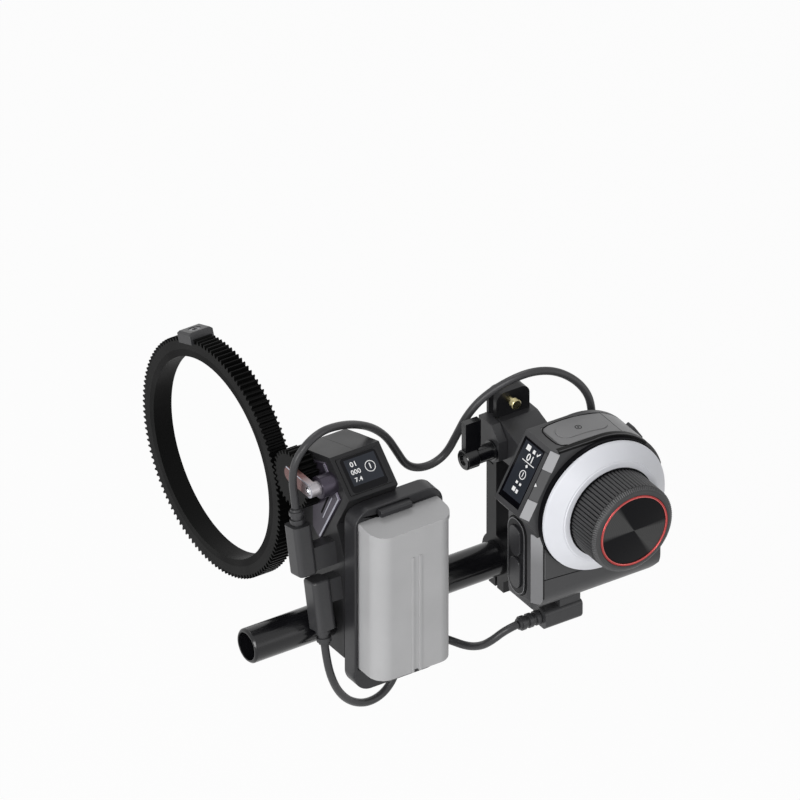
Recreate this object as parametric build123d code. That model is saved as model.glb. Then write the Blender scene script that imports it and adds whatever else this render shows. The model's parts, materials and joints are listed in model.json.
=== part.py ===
from build123d import *
import math
import os

# Follow focus unit: a hand-wheel controller on a rail clamp, a lens motor with its battery plate,
# a lens gear ring, and the rod, bracket and cables that join them. Millimetres.
# The pieces are laid out from the rod: X runs back along it from its front end, -Y is the side of
# the hand wheel, Z is up. The export moves them so that the origin is the centre of the bracket's
# two bolt holes, on its back face.

# fits
run_gap = 0.04          # radial gap of a shaft in its bearing
slide_gap = 0.3         # gap round a piece that slides or is pressed
seat_gap = 0.1          # gap round a piece that is set into another

# support rod; its length follows the bar's place
rod_r = 7.5
rod_bore_r = 4.75
rod_thread_r = 6.0
rod_thread_depth = 12.0
rod_chamfer = 0.8

# rail bracket
bar_x = 121.6           # rod's front end to the bar's front side
bar_width = 16.2
rod_behind = 12.2       # rod behind the bar
rod_length = bar_x + bar_width + rod_behind
bar_thick = 7.4
bar_top = 79.0
bar_corner = 4.0
boss_wall = 3.2
ear_drop = 7.0
ear_half = 5.5
slit = 1.4
bolt_r = 2.15
bolt_spacing = 18.0
bolt_low = 19.0
groove_deep = 1.6
groove_half = 1.8
groove_low = 44.0

# pinch screws of the rod clamps
pinch_r = 1.6
pinch_head_r = 2.6
pinch_head = 2.6

# rail clamp
clamp_low = 50.0
clamp_top = 67.8
clamp_depth = 22.8      # bar front to the controller's back
clamp_ridge = 3.2       # depth of the clamp's level top
clamp_fall = 6.6        # drop of its sloping top
lip_wall = 1.8
lip_depth = 6.4
jaw_width = 4.2
jaw_top = 67.7
jaw_deep = 8.6          # how far the jaw stands out from the bar's face
clamp_axis_y = -4.05
clamp_axis_z = 56.2
clamp_screw_r = 2.5
barrel_r = 3.6
barrel_length = 8.2
lever_hub_r = 4.4
lever_hub = 6.2
paddle_width = 7.8
paddle_thick = 3.2
paddle_reach = 18.0

# stop pin
stop_x = bar_x + 6.0
stop_z = bar_top - 3.6
stop_head_r = 2.3
stop_head = 2.5
stop_neck_r = 1.5
stop_out = 6.0
stop_travel = 3.0

# controller case
wheel_x = bar_x + 21.5   # axis of the hand wheel
wheel_z = 43.7
case_r = 31.2
case_left = 30.4        # wheel axis to the case's front side
case_right = 30.0       # wheel axis to its other side
case_drop = 40.7        # wheel axis to the bottom of the shells
case_depth = 21.2
case_split = 10.2       # depth of the back shell
case_wall = 2.0
neck_drop = 5.0         # wheel axis to where the display head meets the side
head_low = (-37.3, 3.8)     # corners of the display head, from the wheel axis
head_high = (-21.9, case_r + 0.2)
head_fall = 0.3         # the head's top falls this much to meet the round
base_height = 6.0
base_round = 5.8
base_chamfer = 5.8
base_side = 3.0         # chamfer of its edge under the side pad
case_round = 11.0       # round between the case's front and its bottom
edge_width = 4.5        # the chamfer between the side and the front
edge_depth = 3.0
head_edge_width = 2.5
trim_lift = 0.3
trim_length = 8.4       # each trim on the display head
screw_places = [(24.0, -35.0), (-24.0, -34.0), (25.2, 5.0), (-19.0, 17.0)]
screw_r = 1.0
screw_head_r = 1.9
screw_head = 1.2
screw_bite = 5.0        # thread in the front shell
post_r = 2.6

# controller fittings
glass_length = 27.0
glass_back = 1.25        # case back to the glass
glass_front = 2.95       # glass to the case's front
glass_width = case_depth - glass_back - glass_front
glass_thick = 1.0
module_thick = 1.2
board_thick = 1.6
board_width = 52.0
board_height = 43.6
board_low = 13.2         # the board's middle below the wheel axis
board_gap = 0.5
chip_high = 0.9
chips = [(-8.0, -20.0, 9.0, 9.0), (10.0, -22.0, 6.0, 5.0), (0.0, 3.0, 5.0, 5.0), (-20.0, -8.0, 5.0, 7.0)]
module_edge = 1.7        # glass edge to the display module's edge
window_edge = 1.5        # glass edge to the window in the case
pad_width = 12.5
pad_height = 36.2
pad_thick = 0.8
pad_low = 2.4
pad_back = 0.6          # case back to the pad
button_width = 7.6
button_height = 14.2
button_pitch = 15.4
button_out = 0.8        # how far a button stands out of its pad
button_flange = 0.45
flange_thick = 0.8
cover_from = -16.6      # the top cover's ends, from the wheel axis
cover_to = 12.4
cover_x = -8.0          # its highest line
cover_r = 70.0
cover_rise = 0.4
cover_width = 16.4
cover_thick = 2.2
record_length = 23.5
record_width = 9.4
switch_angle = 33.0
switch_length = 8.0
switch_width = 5.0
switch_travel = 2.5

# hand wheel
shaft_r = 4.0
magnet_r = 3.0
magnet_thick = 2.0
encoder_gap = 0.7       # magnet to the tallest chip
shaft_end = case_depth - case_wall - board_thick - chip_high - encoder_gap - magnet_thick
carrier_r = 29.9
carrier_thick = 2.0
carrier_tube_r = 11.0
carrier_tube = 13.0
bearing_r = 8.0
bearing_width = 4.0
bearing_sink = 0.4
disk_r = 29.5
disk_bore_r = 20.4
disk_rim = 1.7
disk_rise = 4.9
disk_slope_r = 23.4
disk_lip_r = 22.6
wheel_gap = 0.3
grip_r = 19.7
grip_start = 9.5        # case front to the back of the grip
grip_length = 15.5
grip_wall = 2.6
nose_r = 18.9
nose = 1.0
trim_r = 16.2
trim_width = 0.9
cap_sink = 0.2

# lens motor
motor_x = 39.1
motor_width = 23.9
motor_split = 12.0
motor_wall = 1.8
motor_outline = [
    (-16.6, 65.7), (-2.2, 78.9), (12.5, 74.6), (22.5, 71.4), (27.0, 64.0),
    (27.0, 30.0), (14.0, 17.0), (14.0, 14.2), (-13.0, 14.2), (-13.0, 36.0), (-7.4, 49.1)]
screen_width = 20.0
screen_height = 16.0
motor_board_z = 29.0
motor_board_high = 26.0
side_plate = 0.8
side_plate_outline = [(9.5, 72.0), (0.8, 75.4), (-11.0, 63.5), (4.1, 36.3), (9.5, 40.0)]

# rod clamp of the motor
grip_half = 13.0
grip_low = -12.5

# lens ring and drive gear
module = 0.8
ring_teeth = 128
drive_teeth = 30
mesh_gap = 0.1
mesh_angle = 160.0      # of the line of centres, from +Y
ring_y = 73.2
ring_z = 41.0
ring_x = 30.2
ring_width = 8.7
ring_rim_r = 46.6
liner_r = 43.6
drive_x = 30.6
drive_width = 7.2
drive_shaft_r = 3.0
drive_hub_r = 5.2
drive_bearing_r = 6.5
drive_bearing = 4.0
can_r = 8.6
clamp_block_angle = 69.5
clamp_block_width = 10.3
clamp_block_long = 11.2
clamp_block_seat = 3.0  # ring left under the block
clamp_block_high = 5.0
clamp_block_seat_r = ring_rim_r + clamp_block_seat
clamp_block_r = clamp_block_seat_r + clamp_block_high
clamp_block_chamfer = 0.8
ring_screw_sink = 2.2
ring_screw_r = 1.5
ring_screw_head_r = 2.6

# lock lever over the drive gear
lock_y = -4.3
lock_z = 68.2
lock_x = 27.4
lock_long = 14.8        # pivot to the middle of its far end
lock_thick = 2.8
lock_boss = 4.7         # thickness at the pivot
lock_half = 3.1
lock_post_r = 2.3
lock_base_r = 4.8
lock_web = 0.8          # left between the screw's head and the post
lock_screw_r = 1.2
lock_head_r = 1.9
lock_head = 0.9

# battery and its plate
plate_width = 42.7
plate_back = -13.0
plate_depth = 8.3
plate_low = -25.6
plate_top = 62.0
plate_corner = 8.0
battery_width = 38.4
battery_height = 70.8
battery_depth = 20.6
battery_low = -14.3
battery_side = 1.5      # wall beside the battery, on the front side
battery_floor = 1.7
battery_round = 7.5
battery_cap = 3.4        # height of the end cap that stands out round the battery's top
battery_lip = 0.4
battery_fall = 1.2       # the cap's top falls this much to its front edge
battery_level = 8.6      # the level part of its top
rib_width = 1.1
rib_pitch = 3.6
rib_top = 56.0           # upper end above the battery's bottom
notch_width = 2.6
notch_high = 1.2
latch_width = 15.0
latch_height = 3.0
latch_out = 3.0
latch_deep = 4.2
latch_travel = 1.5
latch_x = 57.6
contact_thick = 0.8
contact_long = 6.0
contact_out = 2.6
contact_pitch = 5.5
box_x = 60.0
box_length = 20.0
box_height = 11.0
box_depth = 10.0
box_low = -24.0

# plugs and cables
plug_tilt = -12.0
plug_thick = 8.6
plug_wide = 9.6
plug_behind = 6.0       # body behind the arm's middle
plug_ahead = 16.0       # body from the arm's middle to the boot
arm_wide = 7.2
arm_high = 10.0
tip_wide = 2.4
tip_high = 8.2
tip_long = 5.0
socket_wall = 0.6
socket_deep = 7.0
boot_r = 3.1
cable_r = 1.7
upper_plug = (-3.6, 35.2)       # (Y, Z) of the motor's two plugs
lower_plug = (-8.0, 20.6)
upper_arm = 9.9
lower_arm = 5.1
boot_length = 7.0
long_boot = 10.5
wheel_plug = (wheel_x - 9.3, -33.0)     # (X, Y) of the plug under the controller
wheel_arm = 3.4
wheel_ahead = 12.6      # its body is shorter than the others'
back_plug = (wheel_x + 14.9, wheel_z - 5.7)     # (X, Z) of the plug behind the controller
back_arm = 3.0

eps = 0.01
wheel_front = -clamp_depth - case_depth     # the case's front plane
case_back = -clamp_depth


# shapes between two planes

def block(x, y, z):
    size = (x[1] - x[0], y[1] - y[0], z[1] - z[0])
    return Pos((x[0] + x[1]) / 2, (y[0] + y[1]) / 2, (z[0] + z[1]) / 2) * Box(*size)


def across_x(x):
    return Plane(origin=(x, 0, 0), x_dir=(0, 1, 0), z_dir=(1, 0, 0))


def across_y(y):
    return Plane(origin=(0, y, 0), x_dir=(1, 0, 0), z_dir=(0, -1, 0))


def slab_x(face, x0, x1):
    return extrude(across_x(x0) * face, x1 - x0, dir=(1, 0, 0))


def slab_y(face, y0, y1):
    return extrude(across_y(y0) * face, y1 - y0, dir=(0, 1, 0))


def slab_z(face, z0, z1):
    return extrude(Plane.XY.offset(z0) * face, z1 - z0, dir=(0, 0, 1))


def polygon(points):
    return make_face(Polyline(*points, close=True))


def round_x(r, x0, x1, y=0.0, z=0.0):
    return slab_x(Pos(y, z) * Circle(r), x0, x1)


def round_y(r, y0, y1, x=0.0, z=0.0):
    return slab_y(Pos(x, z) * Circle(r), y0, y1)


def round_z(r, z0, z1, x=0.0, y=0.0):
    return slab_z(Pos(x, y) * Circle(r), z0, z1)


def wheel(profile):
    # a solid of revolution about the hand wheel's axis; the profile holds (radius, Y) points
    face = Plane.XY.offset(wheel_z) * polygon([(wheel_x + r, y) for r, y in profile])
    return revolve(face, axis=Axis((wheel_x, 0, wheel_z), (0, 1, 0)))


def inset_polygon(points, distance):
    # moves every side of a convex polygon inwards
    area = sum(a[0] * b[1] - b[0] * a[1] for a, b in zip(points, points[1:] + points[:1]))
    turn = 1 if area > 0 else -1
    lines = []
    for (x0, y0), (x1, y1) in zip(points, points[1:] + points[:1]):
        length = math.hypot(x1 - x0, y1 - y0)
        dx, dy = (x1 - x0) / length, (y1 - y0) / length
        lines.append((x0 - dy * distance * turn, y0 + dx * distance * turn, dx, dy))
    corners = []
    for (ax, ay, adx, ady), (bx, by, bdx, bdy) in zip(lines[-1:] + lines[:-1], lines):
        t = ((bx - ax) * bdy - (by - ay) * bdx) / (adx * bdy - ady * bdx)
        corners.append((ax + adx * t, ay + ady * t))
    return corners


# rod and bracket

def support_rod():
    rod = round_x(rod_r, 0, rod_length)
    rod = chamfer(rod.edges().filter_by(GeomType.CIRCLE), rod_chamfer)
    rod -= round_x(rod_bore_r, -1, rod_length + 1)
    rod -= round_x(rod_thread_r, -1, rod_thread_depth)
    return rod - round_x(rod_thread_r, rod_length - rod_thread_depth, rod_length + 1)


def groove(x_side, inward, low, high, grow=0.0):
    # the V-shaped prism cut into a side of the bar, or the ridge that enters it
    y = bar_thick / 2 + 0.3
    deep = groove_deep - grow
    half = groove_half - grow
    points = [(x_side - inward, y - half - 1), (x_side, y - half), (x_side + inward * deep, y),
              (x_side, y + half), (x_side - inward, y + half + 1)]
    return slab_z(polygon(points), low, high)


def rail_bracket():
    x0, x1 = bar_x, bar_x + bar_width
    face = Pos((x0 + x1) / 2, bar_top / 2) * Rectangle(bar_width, bar_top)
    face = fillet(face.vertices().sort_by(Axis.Y)[-2:], bar_corner)
    boss_r = rod_r + boss_wall
    body = slab_y(face, 0, bar_thick) + round_x(boss_r, x0, x1)
    body += block((x0, x1), (-ear_half, ear_half), (-rod_r - ear_drop, 0))
    body -= round_x(rod_r + run_gap, x0 - 1, x1 + 1)
    body -= block((x0 - 1, x1 + 1), (-slit / 2, slit / 2), (-boss_r - ear_drop, 0))
    for row in range(2):
        z = bolt_low + row * bolt_spacing
        body -= round_y(bolt_r, -1, bar_thick + 1, bar_x + bar_width / 2, z)
    body -= groove(x0, 1, groove_low, bar_top + 1) + groove(x1, -1, groove_low, bar_top + 1)
    body -= round_y(stop_neck_r + run_gap, -1, bar_thick + 1, stop_x, stop_z)
    return body - pinch_hole((x0 + x1) / 2, ear_half, bracket_pinch_z())


def bracket_pinch_z():
    # the screw's head sits just below the round of the boss
    return -math.sqrt((rod_r + boss_wall) ** 2 - ear_half ** 2) - pinch_head_r - seat_gap


def pinch_hole(x, half, z):
    return round_y(pinch_r + run_gap, -half - 1, half + 1, x, z)


def pinch_screw(x, half, z):
    head = round_y(pinch_head_r, half, half + pinch_head, x, z)
    head -= slab_y(Pos(x, z) * RegularPolygon(1.5, 6), half + pinch_head - 1.4, half + pinch_head + 1)
    return round_y(pinch_r, -half, half, x, z) + head


def rod_clamp_screws():
    bracket = pinch_screw(bar_x + bar_width / 2, ear_half, bracket_pinch_z())
    motor = pinch_screw(motor_x + motor_width / 2, grip_half, (grip_low - rod_r) / 2)
    return Compound(children=[bracket, motor])


def stop_pin():
    pin = round_y(stop_neck_r, -stop_out + eps, bar_thick - stop_travel - 0.4, stop_x, stop_z)
    head = round_y(stop_head_r, -stop_out, -stop_out + stop_head, stop_x, stop_z)
    return pin + chamfer(head.edges().filter_by(GeomType.CIRCLE), 0.3)


# rail clamp behind the controller

def clamp_body():
    x0, x1 = bar_x, bar_x + bar_width + lip_wall
    side = [(-clamp_depth, clamp_low), (-seat_gap / 2, clamp_low), (-seat_gap / 2, clamp_top),
            (-clamp_ridge, clamp_top), (-clamp_depth, clamp_top - clamp_fall)]
    body = slab_x(polygon(side), x0, x1)
    body += block((bar_x + bar_width + seat_gap, x1), (-1, lip_depth), (clamp_low, clamp_top))
    body += groove(bar_x + bar_width + seat_gap, -1, clamp_low, clamp_top, seat_gap)
    body -= round_x(clamp_screw_r + run_gap, x0 - 1, x1 - lip_wall, clamp_axis_y, clamp_axis_z)
    for x, z in clamp_bolt_places():
        body -= round_y(bolt_r, -clamp_depth - 1, 1, x, z)
        body -= round_y(2 * bolt_r, -clamp_depth / 2, 1, x, z)
    return body


def clamp_bolt_places():
    middle = bar_x + bar_width / 2
    return [(middle - 3.4, clamp_low + 4.5), (middle + 3.4, clamp_low + 9.5)]


def clamp_bolts():
    bolts = []
    for x, z in clamp_bolt_places():
        shank = round_y(bolt_r - run_gap, -clamp_depth - case_wall, -clamp_depth / 2, x, z)
        head = round_y(1.8 * bolt_r, -clamp_depth / 2, -clamp_depth / 2 + bolt_r * 1.8, x, z)
        socket = slab_y(Pos(x, z) * RegularPolygon(bolt_r * 0.8, 6), -clamp_depth / 2 + 1.6, 0)
        bolts.append(shank + head - socket)
    return Compound(children=bolts)


def clamp_jaw():
    x1 = bar_x - slide_gap
    x0 = x1 - jaw_width
    side = [(lip_depth, clamp_low), (lip_depth, jaw_top), (-clamp_ridge, jaw_top),
            (-jaw_deep, jaw_top - 5.9), (-jaw_deep, clamp_low + 3), (clamp_axis_y, clamp_low)]
    jaw = slab_x(polygon(side), x0, x1)
    jaw += block((x1 - 1, bar_x - seat_gap), (slide_gap, lip_depth), (clamp_low, jaw_top))
    jaw += groove(bar_x - seat_gap, 1, clamp_low, jaw_top, seat_gap)
    return jaw - round_x(clamp_screw_r + run_gap, x0 - 1, x1 + 1, clamp_axis_y, clamp_axis_z)


def clamp_screw():
    # shank, washer and barrel nut, which turn with the lever
    face = bar_x - slide_gap - jaw_width - seat_gap
    y, z = clamp_axis_y, clamp_axis_z
    screw = round_x(clamp_screw_r, face - 1, bar_x + bar_width * 0.6, y, z)
    screw += round_x(barrel_r + 0.8, face - 0.9, face, y, z)
    barrel = round_x(barrel_r, face - barrel_length, face, y, z)
    barrel -= block((face - 6.2, face - 4.6), (y - 5, y + 5), (z - 5, z - 2.4))
    return screw + barrel


def clamp_lever():
    x1 = bar_x - slide_gap - jaw_width - seat_gap - barrel_length
    x0 = x1 - lever_hub
    y, z = clamp_axis_y, clamp_axis_z
    hub = chamfer(round_x(lever_hub_r, x0, x1, y, z).edges().filter_by(GeomType.CIRCLE), 0.5)
    corners = [(x0 + 0.4, z), (x0 + 0.4, z + paddle_reach),
               (x0 + paddle_width, z + paddle_reach), (x0 + paddle_width, z + lever_hub_r + 0.6),
               (x1, z + barrel_r + 0.4), (x1, z)]
    paddle = slab_y(polygon(corners), y - paddle_thick / 2, y + paddle_thick / 2)
    return hub + paddle - round_x(2.2, x0 - 1, x0 + 0.8, y, z)


# controller case

def head_top():
    # the display head's level top meets the round of the case here
    z = head_high[1] - head_fall
    return (-math.sqrt(case_r ** 2 - z ** 2), z)


def case_face(inset=0.0):
    # the case seen along the wheel's axis: a round, a square foot and the leaning display head
    head = [head_low, head_high, head_top(), (0, 0), (-case_left, -neck_drop)]
    left, right, low = inset - case_left, case_right - inset, inset - case_drop
    square = [(left, low), (right, low), (right, 0), (left, 0)]
    face = Circle(case_r - inset) & (Pos((left + right) / 2, 0) * Rectangle(right - left, 4 * case_r))
    face += polygon(square) + polygon(inset_polygon(head, inset))
    return Pos(wheel_x, wheel_z) * face


def facet():
    # plane of the display: x runs up the facet from its lower corner, z points out of it
    dx, dz = head_high[0] - head_low[0], head_high[1] - head_low[1]
    return Plane(origin=(wheel_x + head_low[0], 0, wheel_z + head_low[1]),
                 x_dir=(dx, 0, dz), z_dir=(-dz, 0, dx))


def facet_length():
    return math.dist(head_low, head_high)


def display_block(length, width, out, deep):
    middle = -clamp_depth - glass_back - glass_width / 2
    place = Pos(facet_length() / 2, middle, (out - deep) / 2)
    return facet() * place * Box(length, width, out + deep)


def button_centre(row):
    z = pad_low + pad_height / 2 + (row - 0.5) * button_pitch
    return (-clamp_depth - pad_back - pad_width / 2, z)


def upright_slot(centre, width, height):
    return Pos(*centre) * SlotOverall(height, width, rotation=90)


def case_openings():
    # everything that is cut through both shells
    gap = seat_gap
    cuts = display_block(glass_length + 2 * gap, glass_width + 2 * gap, 1, glass_thick)
    cuts += display_block(glass_length - 2 * window_edge, glass_width - 2 * window_edge, 1, case_wall + 1)
    left = wheel_x - case_left
    for row in range(2):
        hole = upright_slot(button_centre(row), button_width + 2 * gap, button_height + 2 * gap)
        cuts += slab_x(hole, left - 1, left + case_wall + 1)
    middle = -clamp_depth - case_depth / 2
    half = cover_width / 2 + gap / 2
    cuts += block((wheel_x + cover_from - gap / 2, wheel_x + cover_to + gap / 2),
                  (middle - half, middle + half), (wheel_z + case_r / 2, bar_top + 5))
    cuts += switch_block(switch_length + 2 * gap, switch_width + switch_travel + 2 * gap,
                         case_r - 5, case_r + 3, -switch_travel / 2)
    cuts += back_plug_cut()
    return cuts


def back_plug_cut():
    # opening for the socket through the case's back wall and the board
    x, z = back_plug
    half_x, half_z = socket_half(tip_wide) + seat_gap, socket_half(tip_high) + seat_gap
    return block((x - half_x, x + half_x), (case_back - case_wall - board_thick - 1.5, case_back + 1),
                 (z - half_z, z + half_z))


def switch_block(length, width, r0, r1, shift=0.0):
    angle = math.radians(switch_angle)
    out = (math.cos(angle), 0, math.sin(angle))
    plane = Plane(origin=(wheel_x, switch_y() + shift, wheel_z), x_dir=(-out[2], 0, out[0]), z_dir=out)
    return plane * Pos(0, 0, (r0 + r1) / 2) * Box(length, width, r1 - r0)


def switch_y():
    return -clamp_depth - 4.2 - switch_width / 2


def chamfer_cut():
    x, y = wheel_x - case_left, wheel_front
    section = polygon([(x - 1, y - 1), (x + edge_depth, y - 1), (x + edge_depth, y), (x, y + edge_width),
                       (x - 1, y + edge_width)])
    side = slab_z(section, wheel_z - case_drop - base_height - 1, wheel_z - neck_drop - 2)
    return side


def head_edge(start):
    # section plane across the display head's front edge: x is Y, y points out of the facet
    plane = facet()
    origin = plane.from_local_coords((start, 0, 0))
    return Plane(origin=origin, x_dir=(0, 1, 0), z_dir=plane.x_dir)


def head_chamfer():
    y0, y1 = wheel_front, wheel_front + head_edge_width
    section = polygon([(y0 - 1, 1), (y0 - 1, -edge_depth), (y0, -edge_depth), (y1, 0), (y1, 1)])
    edge = head_edge(-1)
    return extrude(edge * section, facet_length() + 2, dir=edge.z_dir)


def head_trim(start, length):
    y0, y1 = wheel_front, wheel_front + head_edge_width
    section = polygon([(y1, 0), (y0, -edge_depth), (y0 - trim_lift, -edge_depth), (y1, trim_lift)])
    edge = head_edge(start)
    return extrude(edge * section, length, dir=edge.z_dir)


def bottom_round(inset):
    # all the room behind the round between the case's front and its bottom
    low = wheel_z - case_drop - base_height
    room = block((wheel_x - 60, wheel_x + 60), (wheel_front + inset, case_back + 5), (low + inset, bar_top + 5))
    edge = room.edges().filter_by(Axis.X).group_by(Axis.Z)[0].sort_by(Axis.Y)[0]
    return fillet(edge, case_round - inset)


def controller_front_shell():
    split = case_back - case_split
    shell = slab_y(case_face(), wheel_front, split) & bottom_round(0)
    shell -= slab_y(case_face(case_wall), wheel_front + case_wall, split + 1) & bottom_round(case_wall)
    for x, z in screw_places:
        shell += round_y(post_r, wheel_front + case_wall - eps, split, wheel_x + x, wheel_z + z)
        shell -= round_y(screw_r + run_gap, split - screw_bite - 1, split + 1, wheel_x + x, wheel_z + z)
    shell -= round_y(carrier_tube_r + run_gap, wheel_front - 1, split, wheel_x, wheel_z)
    return shell - case_openings() - chamfer_cut() - head_chamfer()


def controller_back_shell():
    split = case_back - case_split
    shell = slab_y(case_face(), split, case_back)
    shell -= slab_y(case_face(case_wall), split - 1, case_back - case_wall)
    for x, z in screw_places:
        shell += round_y(post_r, split, case_back - case_wall + eps, wheel_x + x, wheel_z + z)
        shell -= round_y(screw_r + run_gap, split - 1, case_back + 1, wheel_x + x, wheel_z + z)
        shell -= round_y(screw_head_r + run_gap, case_back - screw_head, case_back + 1,
                         wheel_x + x, wheel_z + z)
    for x, z in clamp_bolt_places():
        shell -= round_y(bolt_r, case_back - case_wall - 1, case_back + 1, x, z)
    return shell - case_openings()


def base_solid(inset):
    left, right = wheel_x - case_left, wheel_x + case_right
    top = wheel_z - case_drop
    low = top - base_height
    points = [(left, top), (left, low + base_side), (left + base_side, low), (right - base_chamfer, low),
              (right, top)]
    corners = inset_polygon(points, inset)
    corners[0], corners[-1] = (corners[0][0], top), (corners[-1][0], top)
    base = block((left, right), (wheel_front, case_back - inset), (low + inset, top))
    back_edge = base.edges().filter_by(Axis.X).group_by(Axis.Z)[0].sort_by(Axis.Y)[-1]
    base = fillet(back_edge, base_round - inset) & bottom_round(inset)
    return base & slab_y(polygon(corners), wheel_front, case_back)


def controller_base():
    x, y = wheel_plug
    half_x, half_y = socket_half(tip_high) + seat_gap, socket_half(tip_wide) + seat_gap
    low = wheel_z - case_drop - base_height
    hole = block((x - half_x, x + half_x), (y - half_y, y + half_y), (low - 1, low + case_wall + 1))
    return base_solid(0) - base_solid(case_wall) - hole - chamfer_cut()


def edge_trim():
    x, y = wheel_x - case_left, wheel_front
    lift = trim_lift
    section = polygon([(x, y + edge_width), (x + edge_depth, y), (x + edge_depth - lift, y - lift),
                       (x - lift, y + edge_width - lift)])
    strip = slab_z(section, wheel_z - case_drop, wheel_z - neck_drop - 2.5) & bottom_round(-trim_lift)
    strip -= round_y(carrier_r + seat_gap, wheel_front - carrier_thick, wheel_front, wheel_x, wheel_z)
    ends = [(0.4, trim_length), (facet_length() - trim_length - 0.4, trim_length)]
    return Compound(children=[strip] + [head_trim(start, length) for start, length in ends])


def display_glass():
    return display_block(glass_length, glass_width, 0.1, glass_thick)


def display_module():
    deep = glass_thick + module_thick
    return display_block(glass_length - 2 * module_edge, glass_width - 2 * module_edge, -glass_thick, deep)


def controller_board():
    y1 = case_back - case_wall
    y0 = y1 - board_thick
    bound = Pos(wheel_x, wheel_z - board_low) * Rectangle(board_width, board_height)
    board = slab_y(case_face(case_wall + board_gap) & bound, y0, y1)
    for x, z in screw_places:
        board -= round_y(post_r + slide_gap, y0 - 1, y1 + 1, wheel_x + x, wheel_z + z)
    for x, z, w, h in chips:
        board += block((wheel_x + x - w / 2, wheel_x + x + w / 2), (y0 - chip_high, y0 + eps),
                       (wheel_z + z - h / 2, wheel_z + z + h / 2))
    for x, z in clamp_bolt_places():
        board -= round_y(bolt_r + board_gap, y0 - chip_high - 1, y1 + 1, x, z)
    board -= back_plug_cut()
    return Compound(children=[board, display_module()])


def side_pad():
    left = wheel_x - case_left
    centre = (button_centre(0)[0], pad_low + pad_height / 2)
    pad = slab_x(upright_slot(centre, pad_width, pad_height), left - pad_thick, left)
    for row in range(2):
        hole = upright_slot(button_centre(row), button_width + 2 * seat_gap, button_height + 2 * seat_gap)
        pad -= slab_x(hole, left - 2, left + 1)
    return pad


def side_button(row):
    left = wheel_x - case_left
    centre = button_centre(row)
    button = slab_x(upright_slot(centre, button_width, button_height),
                    left - pad_thick - button_out, left + case_wall + 0.2)
    grown = upright_slot(centre, button_width + 2 * button_flange, button_height + 2 * button_flange)
    return button + slab_x(grown, left + case_wall + 0.15, left + case_wall + 0.15 + flange_thick)


def cover_arc(r0, r1):
    z = case_r + cover_rise - cover_r
    return Pos(wheel_x + cover_x, wheel_z + z) * (Circle(r1) - Circle(r0))


def top_cover():
    middle = -clamp_depth - case_depth / 2
    y0, y1 = middle - cover_width / 2, middle + cover_width / 2
    bound = block((wheel_x + cover_from, wheel_x + cover_to), (y0, y1), (wheel_z + 20, bar_top + 5))
    cover = slab_y(cover_arc(cover_r - cover_thick, cover_r), y0, y1) & bound
    return cover - record_slot(record_length + 2 * seat_gap, record_width + 2 * seat_gap)


def record_slot(length, width):
    x = wheel_x + (cover_from + cover_to) / 2
    y = -clamp_depth - case_depth / 2
    return slab_z(Pos(x, y) * SlotOverall(length, width), wheel_z + 20, bar_top + 5)


def record_button():
    middle = -clamp_depth - case_depth / 2
    y0, y1 = middle - record_width, middle + record_width
    under = cover_r - cover_thick - 0.15
    cap = slab_y(cover_arc(under - 0.1, cover_r + 0.3), y0, y1)
    cap &= record_slot(record_length, record_width)
    flange = slab_y(cover_arc(under - 1.0, under), y0, y1)
    flange &= record_slot(record_length + 1.6, record_width + 1.6)
    return cap + flange


def power_switch():
    r = case_r
    tab = switch_block(switch_length, switch_width, r - case_wall - 1, r + 1.2)
    foot = switch_block(switch_length + 3, switch_width + 2, r - case_wall - 2.2, r - case_wall - 1)
    return tab + foot


def bearing_carrier():
    front = wheel_front - carrier_thick
    end = wheel_front + carrier_tube
    land = bearing_width + bearing_sink
    return wheel([(carrier_r, front), (carrier_r, wheel_front), (carrier_tube_r, wheel_front),
                  (carrier_tube_r, end), (bearing_r + run_gap, end), (bearing_r + run_gap, end - land),
                  (bearing_r - 1.5, end - land), (bearing_r - 1.5, front + land),
                  (bearing_r + run_gap, front + land), (bearing_r + run_gap, front)])


def bearing(y):
    inner = shaft_r + run_gap
    return wheel([(inner, y), (bearing_r, y), (bearing_r, y + bearing_width), (inner, y + bearing_width)])


def wheel_bearings():
    front = wheel_front - carrier_thick
    end = wheel_front + carrier_tube
    return Compound(children=[bearing(front + bearing_sink), bearing(end - bearing_sink - bearing_width)])


def wheel_shaft():
    y0, y1 = wheel_front - grip_start - grip_length + 3, wheel_front + shaft_end
    return wheel([(0, y0), (shaft_r, y0), (shaft_r, y1), (0, y1)])


def encoder_magnet():
    y = wheel_front + shaft_end
    return wheel([(0, y), (magnet_r, y), (magnet_r, y + magnet_thick), (0, y + magnet_thick)])


def marking_disk():
    back = wheel_front - carrier_thick - wheel_gap
    rim = back - disk_rim
    lip = rim - disk_rise
    return wheel([(disk_bore_r, back), (disk_r, back), (disk_r, rim), (disk_slope_r, lip + 0.6),
                  (disk_lip_r, lip + 0.6), (disk_lip_r, lip), (disk_bore_r, lip)])


def wheel_core():
    back = wheel_front - carrier_thick - wheel_gap
    bore = shaft_r + run_gap
    seat = wheel_front - grip_start + 0.1
    face = wheel_front - grip_start - grip_length + 1
    inner = grip_r - grip_wall - seat_gap
    return wheel([(bore, back), (disk_bore_r - seat_gap, back), (disk_bore_r - seat_gap, seat),
                  (inner, seat), (inner, face), (bore, face)])


def wheel_grip():
    back = wheel_front - grip_start
    front = back - grip_length
    inner = grip_r - grip_wall
    ring = trim_r + seat_gap
    return wheel([(inner, back), (grip_r, back), (grip_r, front), (nose_r, front - nose),
                  (ring, front - nose), (ring, front + 0.9), (inner, front + 0.9)])


def trim_ring():
    front = wheel_front - grip_start - grip_length
    inner = trim_r - trim_width
    return wheel([(inner, front - nose - 0.1), (trim_r, front - nose - 0.1), (trim_r, front + 0.9),
                  (inner, front + 0.9)])


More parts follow.
